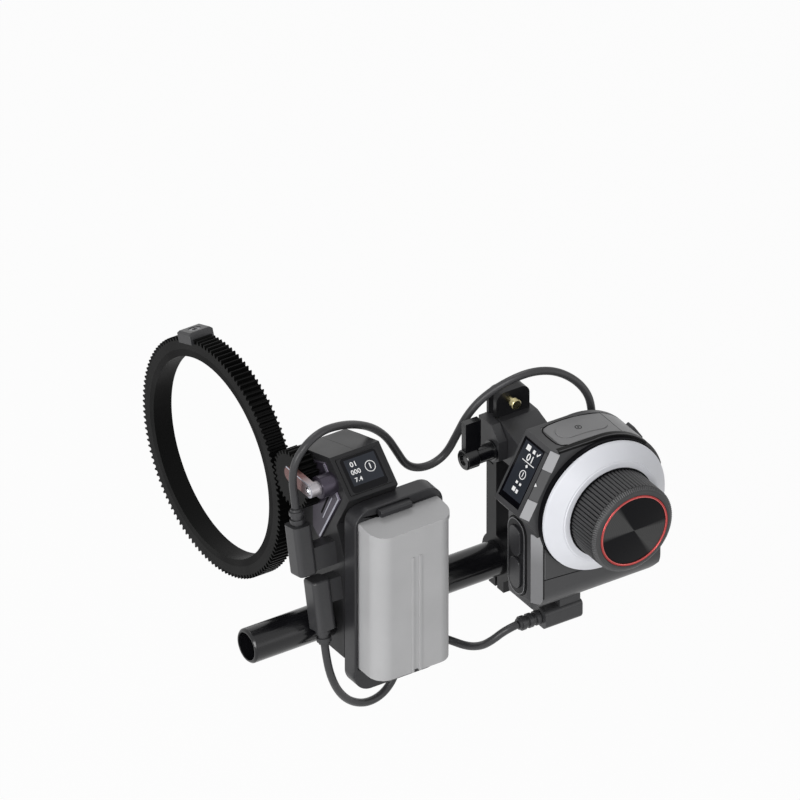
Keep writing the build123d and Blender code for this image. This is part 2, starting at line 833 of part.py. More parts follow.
def wheel_cap():
    front = wheel_front - grip_start - grip_length
    r = trim_r - trim_width - 0.05
    return wheel([(0, front - nose + cap_sink), (r, front - nose + cap_sink), (r, front + 0.9), (0, front + 0.9)])


# lens motor

def motor_face(inset=0.0):
    return polygon(inset_polygon(motor_outline, inset)) if inset else polygon(motor_outline)


def motor_facet():
    (y0, z0), (y1, z1) = motor_outline[0], motor_outline[1]
    length = math.hypot(y1 - y0, z1 - z0)
    up = ((y1 - y0) / length, (z1 - z0) / length)
    return Plane(origin=(motor_x + motor_width / 2, (y0 + y1) / 2, (z0 + z1) / 2),
                 x_dir=(1, 0, 0), z_dir=(0, -up[1], up[0]))


def screen_block(width, height, out, deep):
    return motor_facet() * Pos(0, 0, (out - deep) / 2) * Box(width, height, out + deep)


def drive_centre():
    # the drive gear's axis, on the line of centres down from the ring's axis
    reach = module * (ring_teeth + drive_teeth) / 2 + mesh_gap
    angle = math.radians(mesh_angle)
    return (ring_y + reach * math.cos(angle), ring_z + reach * math.sin(angle))


def motor_shell(x0, x1, wall_at_x0):
    y, z = drive_centre()
    shell = slab_x(motor_face(), x0, x1)
    inner0 = x0 + motor_wall if wall_at_x0 else x0 - 1
    inner1 = x1 + 1 if wall_at_x0 else x1 - motor_wall
    shell -= slab_x(motor_face(motor_wall), inner0, inner1)
    gap = seat_gap
    shell -= screen_block(screen_width + 2 * gap, screen_height + 2 * gap, 1, glass_thick)
    shell -= screen_block(screen_width - 2 * window_edge, screen_height - 2 * window_edge, 1, motor_wall + 1)
    return shell


def motor_front_shell():
    y, z = drive_centre()
    shell = motor_shell(motor_x, motor_x + motor_split, True)
    shell += round_x(drive_bearing_r + 1.6, motor_x, motor_x + drive_bearing + 0.4, y, z)
    shell -= round_x(drive_bearing_r + run_gap, motor_x - 1, motor_x + drive_bearing, y, z)
    shell -= round_x(drive_bearing_r - 1.2, motor_x - 1, motor_x + drive_bearing + 1, y, z)
    for place in (upper_plug, lower_plug):
        width, height = 2 * (socket_half(tip_wide) + seat_gap), 2 * (socket_half(tip_high) + seat_gap)
        shell -= at_motor(place) * Box(2 * socket_deep + 1, width, height)
    return shell


def at_motor(place):
    return Pos(motor_x, *place) * Rot(plug_tilt, 0, 0)


def motor_rear_shell():
    y, z = drive_centre()
    x0, x1 = motor_x + motor_split, motor_x + motor_width
    shell = motor_shell(x0, x1, False)
    ring = round_x(can_r + 1.6, x1 - 6, x1 - motor_wall + eps, y, z)
    ring -= round_x(can_r + seat_gap, x1 - 7, x1 - motor_wall, y, z)
    return shell + (ring & slab_x(motor_face(0.5), x0, x1))


def motor_side_plate():
    plate = slab_x(polygon(side_plate_outline), motor_x - side_plate, motor_x)
    plate = chamfer(plate.faces().sort_by(Axis.X)[0].edges(), side_plate / 2) + lock_post()
    arm = at_motor(upper_plug) * Box(2 * lock_post_r, arm_wide + 2 * slide_gap, arm_high + 2 * slide_gap)
    return plate - arm


def motor_display_glass():
    return screen_block(screen_width, screen_height, 0.1, glass_thick)


def motor_display_module():
    width, height = screen_width - 2 * module_edge, screen_height - 2 * module_edge
    return screen_block(width, height, -glass_thick, glass_thick + module_thick)


def motor_can():
    y, z = drive_centre()
    x0 = motor_x + drive_bearing + 1.0
    x1 = motor_x + motor_width - motor_wall - seat_gap
    can = chamfer(round_x(can_r, x0, x1, y, z).edges().filter_by(GeomType.CIRCLE), 0.5)
    return can - round_x(drive_shaft_r + run_gap, x0 - 1, x0 + 3.5, y, z)


def motor_board():
    # the board stands across the case behind the two sockets
    x0 = motor_x + socket_deep
    face = motor_face(motor_wall + 0.05) & (Pos(0, motor_board_z) * Rectangle(80, motor_board_high))
    board = slab_x(face, x0, x0 + board_thick)
    board += block((x0 + board_thick - 1, x0 + board_thick + 1.2), (-4, 4),
                   (motor_board_z - 4, motor_board_z + 4))
    return Compound(children=[board, motor_display_module()])


def drive_bearing_ring():
    y, z = drive_centre()
    ring = round_x(drive_bearing_r, motor_x + 0.1, motor_x + drive_bearing, y, z)
    return ring - round_x(drive_shaft_r + run_gap, motor_x - 1, motor_x + drive_bearing + 1, y, z)


def toothed_face(teeth, phase):
    # trapezoid teeth; phase is the direction of the middle of the first tooth, in degrees
    pitch_r = module * teeth / 2
    root, tip = pitch_r - 1.15 * module, pitch_r + 0.95 * module
    root_half, tip_half = 0.98 * module, 0.32 * module
    points = []
    for tooth in range(teeth):
        middle = math.radians(phase) + tooth * 2 * math.pi / teeth
        for r, half in ((root, -root_half), (tip, -tip_half), (tip, tip_half), (root, root_half)):
            angle = middle + half / r
            points.append((r * math.cos(angle), r * math.sin(angle)))
    return polygon(points)


def drive_gear():
    y, z = drive_centre()
    phase = mesh_angle + 180 + 180 / drive_teeth
    face = toothed_face(drive_teeth, phase) - Circle(drive_shaft_r + run_gap)
    gear = slab_x(Pos(y, z) * face, drive_x, drive_x + drive_width)
    hub = round_x(drive_hub_r, drive_x + drive_width - eps, motor_x - side_plate - seat_gap, y, z)
    return gear + (hub - round_x(drive_shaft_r + run_gap, drive_x, motor_x + 1, y, z))


def drive_shaft():
    y, z = drive_centre()
    return round_x(drive_shaft_r, drive_x + 0.2, motor_x + drive_bearing + 1.0 + 3.3, y, z)


def lock_post_end():
    return lock_x + lock_head + seat_gap + lock_web + seat_gap


def lock_post():
    post = round_x(lock_post_r, lock_post_end(), motor_x, lock_y, lock_z)
    post += round_x(lock_base_r, lock_x + lock_boss + seat_gap, motor_x, lock_y, lock_z)
    return post - round_x(lock_screw_r + run_gap, lock_x, lock_x + lock_boss + 2, lock_y, lock_z)


def lock_lever():
    y0, y1 = lock_y - lock_half, lock_y + lock_long + lock_half
    face = Pos((y0 + y1) / 2, lock_z) * SlotOverall(y1 - y0, 2 * lock_half)
    lever = slab_x(face, lock_x, lock_x + lock_thick)
    lever += round_x(lock_half, lock_x, lock_x + lock_boss, lock_y, lock_z)
    lever -= round_x(lock_head_r + run_gap, lock_x - 1, lock_x + lock_head + seat_gap, lock_y, lock_z)
    lever -= round_x(lock_screw_r + run_gap, lock_x, lock_x + lock_boss, lock_y, lock_z)
    return lever - round_x(lock_post_r + run_gap, lock_post_end() - seat_gap, motor_x, lock_y, lock_z)


def lock_screw():
    head = round_x(lock_head_r, lock_x, lock_x + lock_head, lock_y, lock_z)
    head -= slab_x(Pos(lock_y, lock_z) * RegularPolygon(0.9, 6), lock_x - 1, lock_x + 0.6)
    return head + round_x(lock_screw_r, lock_x + lock_head, lock_x + lock_boss + 1.5, lock_y, lock_z)


def rod_clamp_block():
    x0, x1 = motor_x, motor_x + motor_width
    body = block((x0, x1), (-grip_half, grip_half), (grip_low, motor_outline[7][1]))
    body -= round_x(rod_r + run_gap, x0 - 1, x1 + 1)
    body -= block((x0 - 1, x1 + 1), (-slit / 2, slit / 2), (grip_low - 1, 0))
    return body - pinch_hole((x0 + x1) / 2, grip_half, (grip_low - rod_r) / 2)


# lens ring

def ring_place():
    return Pos(ring_y, ring_z)


def ring_gear():
    face = toothed_face(ring_teeth, mesh_angle) - Circle(ring_rim_r)
    gear = slab_x(ring_place() * face, ring_x, ring_x + ring_width)
    gear -= ring_plane() * ring_block(clamp_block_width + 2 * seat_gap, clamp_block_seat_r,
                                      clamp_block_r, ring_width + 2)
    return gear - ring_plane() * ring_rod(ring_screw_r + run_gap, ring_rim_r - 1, clamp_block_r)


def ring_plane():
    # stands on the ring's axis; z points out through the clamp block
    angle = math.radians(clamp_block_angle)
    return Plane(origin=(ring_x + ring_width / 2, ring_y, ring_z), x_dir=(1, 0, 0),
                 z_dir=(0, math.cos(angle), math.sin(angle)))


def ring_block(width, r0, r1, length):
    return Pos(0, 0, (r0 + r1) / 2) * Box(length, width, r1 - r0)


def ring_rod(r, r0, r1):
    return Pos(0, 0, (r0 + r1) / 2) * Cylinder(r, r1 - r0)


def ring_liner():
    face = Circle(ring_rim_r - eps) - Circle(liner_r)
    return slab_x(ring_place() * face, ring_x, ring_x + ring_width)


def ring_clamp_block():
    clamp = ring_block(clamp_block_width, clamp_block_seat_r, clamp_block_r, clamp_block_long)
    clamp = chamfer(clamp.faces().sort_by(Axis.Z)[-1].edges(), clamp_block_chamfer)
    clamp -= ring_rod(ring_screw_r + run_gap, ring_rim_r, clamp_block_r + 1)
    clamp -= ring_rod(ring_screw_head_r + run_gap, clamp_block_r - ring_screw_sink, clamp_block_r + 1)
    return ring_plane() * clamp


def ring_clamp_screw():
    screw = ring_rod(ring_screw_head_r, clamp_block_r - ring_screw_sink, clamp_block_r - 0.3)
    screw += ring_rod(ring_screw_r, ring_rim_r + seat_gap, clamp_block_r - ring_screw_sink)
    screw -= Pos(0, 0, clamp_block_r - 1.5) * extrude(RegularPolygon(1.3, 6), 3)
    return ring_plane() * screw


# battery and plate

def battery_x():
    return plate_x() + battery_side + slide_gap


def plate_x():
    return motor_x


def battery_span():
    # (X, Y, Z) spans of the battery
    x0 = battery_x()
    back = plate_back - battery_floor
    return ((x0, x0 + battery_width), (back - battery_depth, back),
            (battery_low, battery_low + battery_height))


def battery_plate():
    x0, x1 = plate_x(), plate_x() + plate_width
    face = Pos((x0 + x1) / 2, (plate_low + plate_top) / 2) * RectangleRounded(
        plate_width, plate_top - plate_low, plate_corner)
    front = plate_back - plate_depth
    plate = slab_y(face, front, plate_back)
    (bx0, bx1), (by0, by1), (bz0, bz1) = battery_span()
    gap = slide_gap
    plate -= block((bx0 - gap, bx1 + gap), (front - 1, by1), (bz0 - gap, bz1 + gap))
    plate -= block((latch_x - latch_width / 2 - gap, latch_x + latch_width / 2 + gap),
                   (front - 1, front + latch_deep + gap + latch_travel),
                   (latch_low() - gap, latch_low() + latch_height + gap))
    return plate - slab_x(motor_face(), motor_x, motor_x + motor_width)


def latch_low():
    return battery_low + battery_height + 1.1


def battery_latch():
    front = plate_back - plate_depth
    half = latch_width / 2
    body = block((latch_x - half, latch_x + half), (front - latch_out, front + latch_deep),
                 (latch_low(), latch_low() + latch_height))
    return chamfer(body.edges().filter_by(Axis.X).group_by(Axis.Y)[0], 0.6)


def contact_x(index):
    (x0, x1), _, _ = battery_span()
    return (x0 + x1) / 2 + (index - 1) * contact_pitch


def battery_contacts():
    blades = []
    back = plate_back - battery_floor
    for index in range(3):
        x = contact_x(index)
        blades.append(block((x - contact_thick / 2, x + contact_thick / 2), (back - contact_out, back),
                            (battery_low + 4, battery_low + 4 + contact_long)))
    return Compound(children=blades)


def rounded_front(x, y, z, r):
    body = block(x, y, z)
    return fillet(body.edges().filter_by(Axis.Z).group_by(Axis.Y)[0], r)


def battery():
    (x0, x1), (y0, y1), (z0, z1) = battery_span()
    lip, middle = battery_lip, (x0 + x1) / 2
    body = rounded_front((x0 + lip, x1 - lip), (y0 + lip, y1), (z0, z1 - battery_cap / 2), battery_round - lip)
    cap = rounded_front((x0, x1), (y0, y1), (z1 - battery_cap, z1), battery_round)
    level = y1 - battery_level
    cap -= slab_x(polygon([(level, z1), (y0, z1 - battery_fall), (y0 - 1, z1 - battery_fall),
                           (y0 - 1, z1 + 1), (level, z1 + 1)]), x0 - 1, x1 + 1)
    body += cap
    for side in (-0.5, 0.5):
        x = middle + side * rib_pitch
        body += block((x - rib_width / 2, x + rib_width / 2), (y0, y0 + 1), (z0, z0 + rib_top))
    body -= block((middle - notch_width / 2, middle + notch_width / 2), (y0 - 1, y0 + 2), (z0 - 1, z0 + notch_high))
    for index in range(3):
        x = contact_x(index)
        body -= block((x - contact_thick, x + contact_thick), (y1 - contact_out - 0.6, y1 + 1),
                      (battery_low + 3, battery_low + 5 + contact_long))
    return body


def power_splitter():
    x0 = box_x
    body = block((x0, x0 + box_length), (plate_back, plate_back + box_depth), (box_low, box_low + box_height))
    return fillet(body.edges().filter_by(Axis.X).group_by(Axis.Y)[-1], 1.5)


# sockets, plugs and cables

def socket_half(tip):
    # half the outside size of a socket round a plug's tip
    return tip / 2 + socket_wall


def socket(deep):
    # mouth at x = seat_gap, open towards -x
    outer = Box(deep - seat_gap, 2 * socket_half(tip_wide), 2 * socket_half(tip_high))
    inner = Box(tip_long + 1, tip_wide + 2 * seat_gap, tip_high + 2 * seat_gap)
    return Pos((deep + seat_gap) / 2, 0, 0) * outer - Pos((tip_long - 0.4) / 2, 0, 0) * inner


def under_case():
    # plugs in upwards; the cable leaves towards -x
    return Pos(*wheel_plug, wheel_z - case_drop - base_height) * Rot(0, -90, 0)


def behind_case():
    # plugs in towards -y; the cable leaves upwards
    return Pos(back_plug[0], case_back, back_plug[1]) * Rot(0, 0, -90)


def cable_sockets():
    places = [at_motor(upper_plug), at_motor(lower_plug), behind_case()]
    sockets = [place * socket(socket_deep) for place in places]
    return Compound(children=sockets + [under_case() * socket(base_height)])


def elbow_plug(arm, boot, ribs, ahead=plug_ahead):
    # plugs in along +x at the origin; its cable leaves along +z
    x0 = -arm - plug_thick
    body = Pos(x0 + plug_thick / 2, 0, (ahead - plug_behind) / 2) * Box(
        plug_thick, plug_wide, ahead + plug_behind)
    body = fillet(body.edges().filter_by(Axis.Z), 2.2)
    body = fillet(body.faces().sort_by(Axis.Z)[0].edges(), 1.2)
    body += Pos(-arm / 2 - 0.5, 0, 0) * Box(arm + 1, arm_wide, arm_high)
    body += Pos(tip_long / 2 - 0.5, 0, 0) * Box(tip_long + 1, tip_wide, tip_high)
    x = x0 + plug_thick / 2
    stem = Pos(x, 0, ahead + boot / 2) * Cylinder(boot_r - 0.7, boot)
    step = boot / (2 * ribs)
    for rib in range(ribs):
        stem += Pos(x, 0, ahead + (2 * rib + 0.9) * step) * Cylinder(boot_r, step)
    return body + stem


def motor_control_plug():
    return at_motor(upper_plug) * elbow_plug(upper_arm, boot_length, 2)


def motor_power_plug():
    return at_motor(lower_plug) * Rot(180, 0, 0) * elbow_plug(lower_arm, boot_length, 2)


def controller_power_plug():
    return under_case() * elbow_plug(wheel_arm, long_boot, 3, wheel_ahead)


def controller_control_plug():
    return behind_case() * elbow_plug(back_arm, boot_length, 2)


def tube(name, points):
    # straight runs joined by arcs as large as their runs allow
    runs = [math.dist(a, b) for a, b in zip(points, points[1:])]
    radii = []
    for index in range(1, len(points) - 1):
        before = Vector(*points[index]) - Vector(*points[index - 1])
        after = Vector(*points[index + 1]) - Vector(*points[index])
        half_turn = math.radians(before.get_angle(after)) / 2
        radii.append(0.45 * min(runs[index - 1], runs[index]) / math.tan(half_turn))
    path = FilletPolyline(*points, radius=radii)
    section = Plane(origin=path @ 0, z_dir=path % 0) * Circle(cable_r)
    solid = sweep(section, path=path)
    expected = math.pi * cable_r ** 2 * path.length
    print(name, "length", round(path.length, 1), "smallest radius", round(min(radii), 1),
          "volume ratio", round(solid.volume / expected, 4))
    print("  radii", [round(r, 1) for r in radii])
    print("  runs", [round(r, 1) for r in runs])
    return solid


def control_cable():
    # from the motor's upper plug over the rod and bracket, down behind the controller
    return tube("control_cable", [
        (24.9, 1.2, 57.8), (24.9, 2.4, 63.4), (24.0, 2.4, 71.4), (24.2, 1.0, 80.2), (29.2, 0.6, 87.3),
        (37.8, 2.2, 90.0), (47.8, 5.4, 87.4), (58.0, 8.5, 83.0), (67.6, 10.2, 77.2),
        (75.0, 10.6, 69.8), (79.6, 10.1, 61.2), (83.4, 9.2, 53.6), (89.4, 8.7, 50.1), (96.4, 8.0, 50.3),
        (102.1, 7.0, 54.2), (105.6, 5.2, 62.6), (108.6, 2.4, 72.4), (114.2, -1.0, 81.2),
        (123.0, -4.8, 87.6), (133.4, -7.2, 90.3), (143.8, -9.0, 88.3), (152.2, -11.4, 82.4),
        (157.2, -13.8, 75.0), (158.2, -15.4, 67.2), (158.0, -15.5, 61.1)])


def motor_power_cable():
    # from the motor's lower plug under the battery plate, up into the power splitter
    return tube("motor_power_cable", [
        (29.7, -12.8, -2.0), (29.7, -14.1, -8.2), (31.2, -15.0, -17.4), (35.6, -14.0, -27.2),
        (42.4, -12.2, -35.4), (51.2, -10.6, -40.4), (60.0, -9.2, -40.2), (66.2, -8.2, -35.2),
        (68.0, -8.0, -29.2), (68.0, -8.0, -24.1)])


def controller_power_cable():
    # from the power splitter to the plug under the controller
    return tube("controller_power_cable", [
        (80.1, -8.0, -20.0), (85.2, -8.1, -20.2), (91.4, -11.2, -23.4), (95.8, -17.6, -24.6),
        (98.2, -24.2, -21.8), (100.2, -29.4, -17.0), (105.0, -32.6, -11.6), (110.4, -33.0, -10.7)])


def case_screws():
    screws = []
    for x, z in screw_places:
        x, z = wheel_x + x, wheel_z + z
        screw = round_y(screw_r, case_back - case_split - screw_bite, case_back - screw_head, x, z)
        screw += round_y(screw_head_r, case_back - screw_head, case_back - eps, x, z)
        screws.append(screw - round_y(0.8, case_back - 0.7, case_back + 1, x, z))
    return Compound(children=screws)


pieces = {
    "support_rod": support_rod(),
    "rail_bracket": rail_bracket(),
    "rod_clamp_screws": rod_clamp_screws(),
    "stop_pin": stop_pin(),
    "clamp_body": clamp_body(),
    "clamp_bolts": clamp_bolts(),
    "clamp_jaw": clamp_jaw(),
    "clamp_screw": clamp_screw(),
    "clamp_lever": clamp_lever(),
    "controller_front_shell": controller_front_shell(),
    "controller_back_shell": controller_back_shell(),
    "controller_base": controller_base(),
    "case_screws": case_screws(),
    "top_cover": top_cover(),
    "record_button": record_button(),
    "power_switch": power_switch(),
    "side_pad": side_pad(),
    "side_button_lower": side_button(0),
    "side_button_upper": side_button(1),
    "edge_trim": edge_trim(),
    "display_glass": display_glass(),
    "controller_board": controller_board(),
    "bearing_carrier": bearing_carrier(),
    "wheel_bearings": wheel_bearings(),
    "wheel_shaft": wheel_shaft(),
    "encoder_magnet": encoder_magnet(),
    "marking_disk": marking_disk(),
    "wheel_core": wheel_core(),
    "wheel_grip": wheel_grip(),
    "trim_ring": trim_ring(),
    "wheel_cap": wheel_cap(),
    "motor_front_shell": motor_front_shell(),
    "motor_rear_shell": motor_rear_shell(),
    "motor_side_plate": motor_side_plate(),
    "motor_display_glass": motor_display_glass(),
    "motor_board": motor_board(),
    "motor_can": motor_can(),
    "drive_bearing": drive_bearing_ring(),
    "drive_shaft": drive_shaft(),
    "drive_gear": drive_gear(),
    "lock_lever": lock_lever(),
    "lock_screw": lock_screw(),
    "rod_clamp_block": rod_clamp_block(),
    "ring_gear": ring_gear(),
    "ring_liner": ring_liner(),
    "ring_clamp_block": ring_clamp_block(),
    "ring_clamp_screw": ring_clamp_screw(),
    "battery_plate": battery_plate(),
    "battery_contacts": battery_contacts(),
    "battery_latch": battery_latch(),
    "battery": battery(),
    "power_splitter": power_splitter(),
    "cable_sockets": cable_sockets(),
    "motor_control_plug": motor_control_plug(),
    "motor_power_plug": motor_power_plug(),
    "controller_power_plug": controller_power_plug(),
    "controller_control_plug": controller_control_plug(),
    "control_cable": control_cable(),
    "motor_power_cable": motor_power_cable(),
    "controller_power_cable": controller_power_cable(),
}
origin = Pos(-bar_x - bar_width / 2, -bar_thick, -bolt_low - bolt_spacing / 2)
os.makedirs("parts", exist_ok=True)
for name, piece in pieces.items():
    export_step(origin * piece, "parts/" + name + ".step")
    print(name, len(piece.solids()), "solids", round(piece.volume, 1), "mm3")
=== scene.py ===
import bpy
import bmesh
import json
import math
from mathutils import Matrix, Vector


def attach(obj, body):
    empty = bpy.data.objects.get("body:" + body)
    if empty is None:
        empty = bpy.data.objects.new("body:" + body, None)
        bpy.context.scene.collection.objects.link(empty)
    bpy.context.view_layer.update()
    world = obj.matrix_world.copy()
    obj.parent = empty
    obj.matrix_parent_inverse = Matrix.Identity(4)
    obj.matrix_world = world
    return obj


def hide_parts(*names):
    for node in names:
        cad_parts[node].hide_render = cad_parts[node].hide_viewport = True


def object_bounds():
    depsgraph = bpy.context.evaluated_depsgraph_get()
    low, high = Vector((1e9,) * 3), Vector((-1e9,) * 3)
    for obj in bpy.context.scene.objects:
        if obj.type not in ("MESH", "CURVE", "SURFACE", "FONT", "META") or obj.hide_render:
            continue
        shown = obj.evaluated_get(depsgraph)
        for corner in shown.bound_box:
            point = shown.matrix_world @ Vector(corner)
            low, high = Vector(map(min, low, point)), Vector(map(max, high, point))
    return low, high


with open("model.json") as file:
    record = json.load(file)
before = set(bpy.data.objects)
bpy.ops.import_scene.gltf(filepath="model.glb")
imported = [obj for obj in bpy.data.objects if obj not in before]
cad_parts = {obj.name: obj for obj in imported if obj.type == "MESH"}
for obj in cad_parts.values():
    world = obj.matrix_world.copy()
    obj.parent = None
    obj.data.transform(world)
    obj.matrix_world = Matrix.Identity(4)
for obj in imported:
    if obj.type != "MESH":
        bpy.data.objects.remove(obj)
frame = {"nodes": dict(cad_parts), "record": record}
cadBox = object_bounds()
nodes = frame["nodes"]
slotOf = {part["node"]: part["material_slot"] for part in frame["record"]["subparts"]}
bodyOf = {node: body for body, held in frame["record"]["behaviour"]["bodies"].items() for node in held}
scene = bpy.context.scene
mm = 0.001
rodEnd = Vector((-0.1297, -0.0074, -0.0280))   # the rod's front end, which routes and lines are laid out from
wheelAxis = (13.4, 15.7)                       # x and z of the hand wheel's axis, mm
headSlope = (0.4873, 0.8732)                   # x and z of the direction up the display head


def addObject(name, data):
    thing = bpy.data.objects.new(name, data)
    scene.collection.objects.link(thing)
    return thing


# camera, from above the rod's front end

cameraView = {"turn": -33.0, "rise": 33.0, "lens": 1500.0, "sensor": 36.0, "width": 0.3272,
              "right": -0.0421, "up": 0.0351}


def makeCamera(view):
    turn, rise = math.radians(view["turn"]), math.radians(view["rise"])
    right = Vector((math.cos(turn), math.sin(turn), 0))
    back = Vector((math.sin(turn) * math.cos(rise), -math.cos(turn) * math.cos(rise), math.sin(rise)))
    up = back.cross(right)
    data = bpy.data.cameras.new("camera")
    data.type = "PERSP"
    data.lens, data.sensor_width = view["lens"], view["sensor"]
    distance = view["width"] * view["lens"] / view["sensor"]
    data.clip_end = 3 * distance
    camera = addObject("camera", data)
    place = view["right"] * right + view["up"] * up + distance * back
    camera.matrix_world = Matrix.Translation(place) @ Matrix((right, up, back)).transposed().to_4x4()
    scene.camera = camera
    print("camera set", round(distance, 2), "m away")


makeCamera(cameraView)


# finishes: rough runs between two values over the piece, shine is the specular level

finishes = {
    "rod_black": {"color": (0.005, 0.005, 0.006), "rough": (0.16, 0.26), "shine": 0.35, "coat": 0.15},
    "bracket_black": {"color": (0.010, 0.010, 0.011), "rough": (0.30, 0.40), "shine": 0.20, "grain": 0.06},
    "clamp_black": {"color": (0.026, 0.026, 0.028), "rough": (0.30, 0.40), "grain": 0.10, "shine": 0.35},
    "screw_steel": {"color": (0.26, 0.26, 0.27), "rough": (0.28, 0.40), "metal": 1.0},
    "pin_brass": {"color": (0.42, 0.37, 0.20), "rough": (0.24, 0.34), "metal": 1.0},
    "lever_black": {"color": (0.003, 0.003, 0.004), "rough": (0.16, 0.26), "shine": 0.40, "coat": 0.25},
    "case_plastic": {"color": (0.046, 0.046, 0.048), "rough": (0.32, 0.42), "grain": 0.10, "shine": 0.35},
    "button_plastic": {"color": (0.020, 0.020, 0.022), "rough": (0.26, 0.36), "grain": 0.06, "shine": 0.40},
    "pad_rubber": {"color": (0.006, 0.006, 0.007), "rough": (0.34, 0.46), "grain": 0.10, "shine": 0.20},
    # painted shade: the edge trim is darker towards the bottom and paler towards the top
    "trim_light": {"color": (0.15, 0.15, 0.155), "rough": (0.30, 0.40), "grain": 0.06,
                   "towards": {"axis": "Z", "low": -6.0, "high": 13.0, "color": (0.31, 0.31, 0.32)}},
    "screen_glass": {"color": (0.002, 0.002, 0.003), "rough": (0.08, 0.14), "shine": 0.15},
    "board_green": {"color": (0.02, 0.12, 0.06), "rough": (0.35, 0.5), "grain": 0.3},
    "bearing_steel": {"color": (0.55, 0.55, 0.56), "rough": (0.22, 0.34), "metal": 1.0},
    "disk_white": {"color": (0.66, 0.67, 0.71), "rough": (0.32, 0.42), "grain": 0.05},
    "wheel_black": {"color": (0.004, 0.004, 0.005), "rough": (0.38, 0.50), "shine": 0.10},
    "grip_rubber": {"color": (0.042, 0.042, 0.043), "rough": (0.34, 0.44), "grain": 0.08, "shine": 0.30},
    "trim_red": {"color": (0.46, 0.045, 0.045), "rough": (0.22, 0.34), "metal": 0.4},
    # the cap's face: fine rings, and two paler wedges that are a painted highlight
    "cap_dark": {"color": (0.005, 0.005, 0.006), "rough": (0.24, 0.32), "grain": 0.0, "shine": 0.08,
                 "spunRingsAndHighlight": {"turn": -30.0, "edge": (0.38, 0.66), "pitch": 0.9, "ringDepth": 0.12,
                          "color": (0.062, 0.062, 0.062)}},
    "motor_plastic": {"color": (0.019, 0.019, 0.020), "rough": (0.28, 0.38), "grain": 0.08, "shine": 0.16},
    "side_plate_grey": {"color": (0.050, 0.042, 0.060), "rough": (0.24, 0.34), "metal": 0.6},
    "gear_black": {"color": (0.003, 0.003, 0.003), "rough": (0.30, 0.42), "shine": 0.06},
    "liner_rubber": {"color": (0.003, 0.003, 0.003), "rough": (0.45, 0.58), "shine": 0.06},
    "lock_silver": {"color": (0.38, 0.36, 0.38), "rough": (0.22, 0.32), "metal": 0.7,
                    "towards": {"axis": "Y", "low": -12.5, "high": -5.5, "color": (0.15, 0.07, 0.066)}},
    "chrome": {"color": (0.70, 0.70, 0.72), "rough": (0.10, 0.18), "metal": 1.0},
    "plate_dark": {"color": (0.022, 0.022, 0.024), "rough": (0.30, 0.40), "grain": 0.08, "shine": 0.30},
    "battery_grey": {"color": (0.38, 0.38, 0.385), "rough": (0.40, 0.50), "grain": 0.10, "shine": 0.30},
    "plug_grey": {"color": (0.034, 0.034, 0.036), "rough": (0.30, 0.40), "grain": 0.08, "shine": 0.35},
    "cable_grey": {"color": (0.034, 0.034, 0.036), "rough": (0.32, 0.42), "grain": 0.08, "shine": 0.35},
    "print_white": {"color": (0.78, 0.78, 0.78), "rough": (0.45, 0.55), "grain": 0.0},
    "screen_slate": {"color": (0.022, 0.025, 0.032), "rough": (0.12, 0.20), "shine": 0.15},
    "edge_silver": {"color": (0.42, 0.42, 0.48), "rough": (0.24, 0.34), "metal": 0.8},
    # pale grey for painted highlight lines along edges
    "highlight_grey": {"color": (0.15, 0.15, 0.155), "rough": (0.30, 0.40), "grain": 0.05},
    # paler grey of the top cover: partly its own tone, partly a painted highlight of its glossy top
    "cover_grey": {"color": (0.175, 0.175, 0.178), "rough": (0.34, 0.42), "grain": 0.10, "shine": 0.40},
    "facet_grey": {"color": (0.066, 0.066, 0.068), "rough": (0.30, 0.40), "grain": 0.06, "shine": 0.35},
    "groove_black": {"color": (0.002, 0.002, 0.002), "rough": (0.5, 0.6), "grain": 0.0, "shine": 0.05},
    "band_black": {"color": (0.006, 0.006, 0.006), "rough": (0.30, 0.40), "grain": 0.06, "shine": 0.10},
    # paler red for the trim ring's inner line: a painted highlight
    "ring_rose": {"color": (0.62, 0.13, 0.12), "rough": (0.22, 0.34), "metal": 0.4},
}

plain = {"metal": 0.0, "coat": 0.0, "shine": 0.5, "grain": 0.12}   # what a finish has where it says nothing

surface = {"spread": 0.08, "cloudScale": 60.0, "cloudDetail": 3.0, "cloudRange": (0.3, 0.7),
           "grainScale": 2600.0, "grainDetail": 2.0, "grainDepth": 0.04, "coatRough": 0.12}


def setInput(tree, socket, value):
    if isinstance(value, bpy.types.NodeSocket):
        tree.links.new(value, socket)
    else:
        socket.default_value = value


def addNode(tree, kind, **inputs):
    # an underscore in an input's name stands for a space
    made = tree.nodes.new(kind)
    for name, value in inputs.items():
        setInput(tree, made.inputs[name.replace("_", " ")], value)
    return made


def addMix(tree, first, second, factor):
    mix = tree.nodes.new("ShaderNodeMix")
    mix.data_type = "RGBA"
    for name, value in (("A", first), ("B", second), ("Factor", factor)):
        setInput(tree, mix.inputs[name], value)
    return mix.outputs["Result"]


def addMath(tree, operation, *terms):
    made = tree.nodes.new("ShaderNodeMath")
    made.operation = operation
    for socket, term in zip(made.inputs, terms):
        setInput(tree, socket, term)
    return made.outputs[0]


def addRange(tree, value, given, wanted=(0.0, 1.0)):
    made = addNode(tree, "ShaderNodeMapRange", Value=value, From_Min=given[0], From_Max=given[1],
                   To_Min=wanted[0], To_Max=wanted[1])
    return made.outputs["Result"]


def addNoise(tree, place, scale, detail):
    return addNode(tree, "ShaderNodeTexNoise", Vector=place, Scale=scale, Detail=detail).outputs["Fac"]


def opaque(color, strength=1.0):
    return (*[min(1, part * strength) for part in color], 1)


def sideShare(tree, place, settings):
    # from 0 to 1 towards one side of the object
    parts = addNode(tree, "ShaderNodeSeparateXYZ", Vector=place).outputs
    return addRange(tree, parts[settings["axis"]], (settings["low"] * mm, settings["high"] * mm))


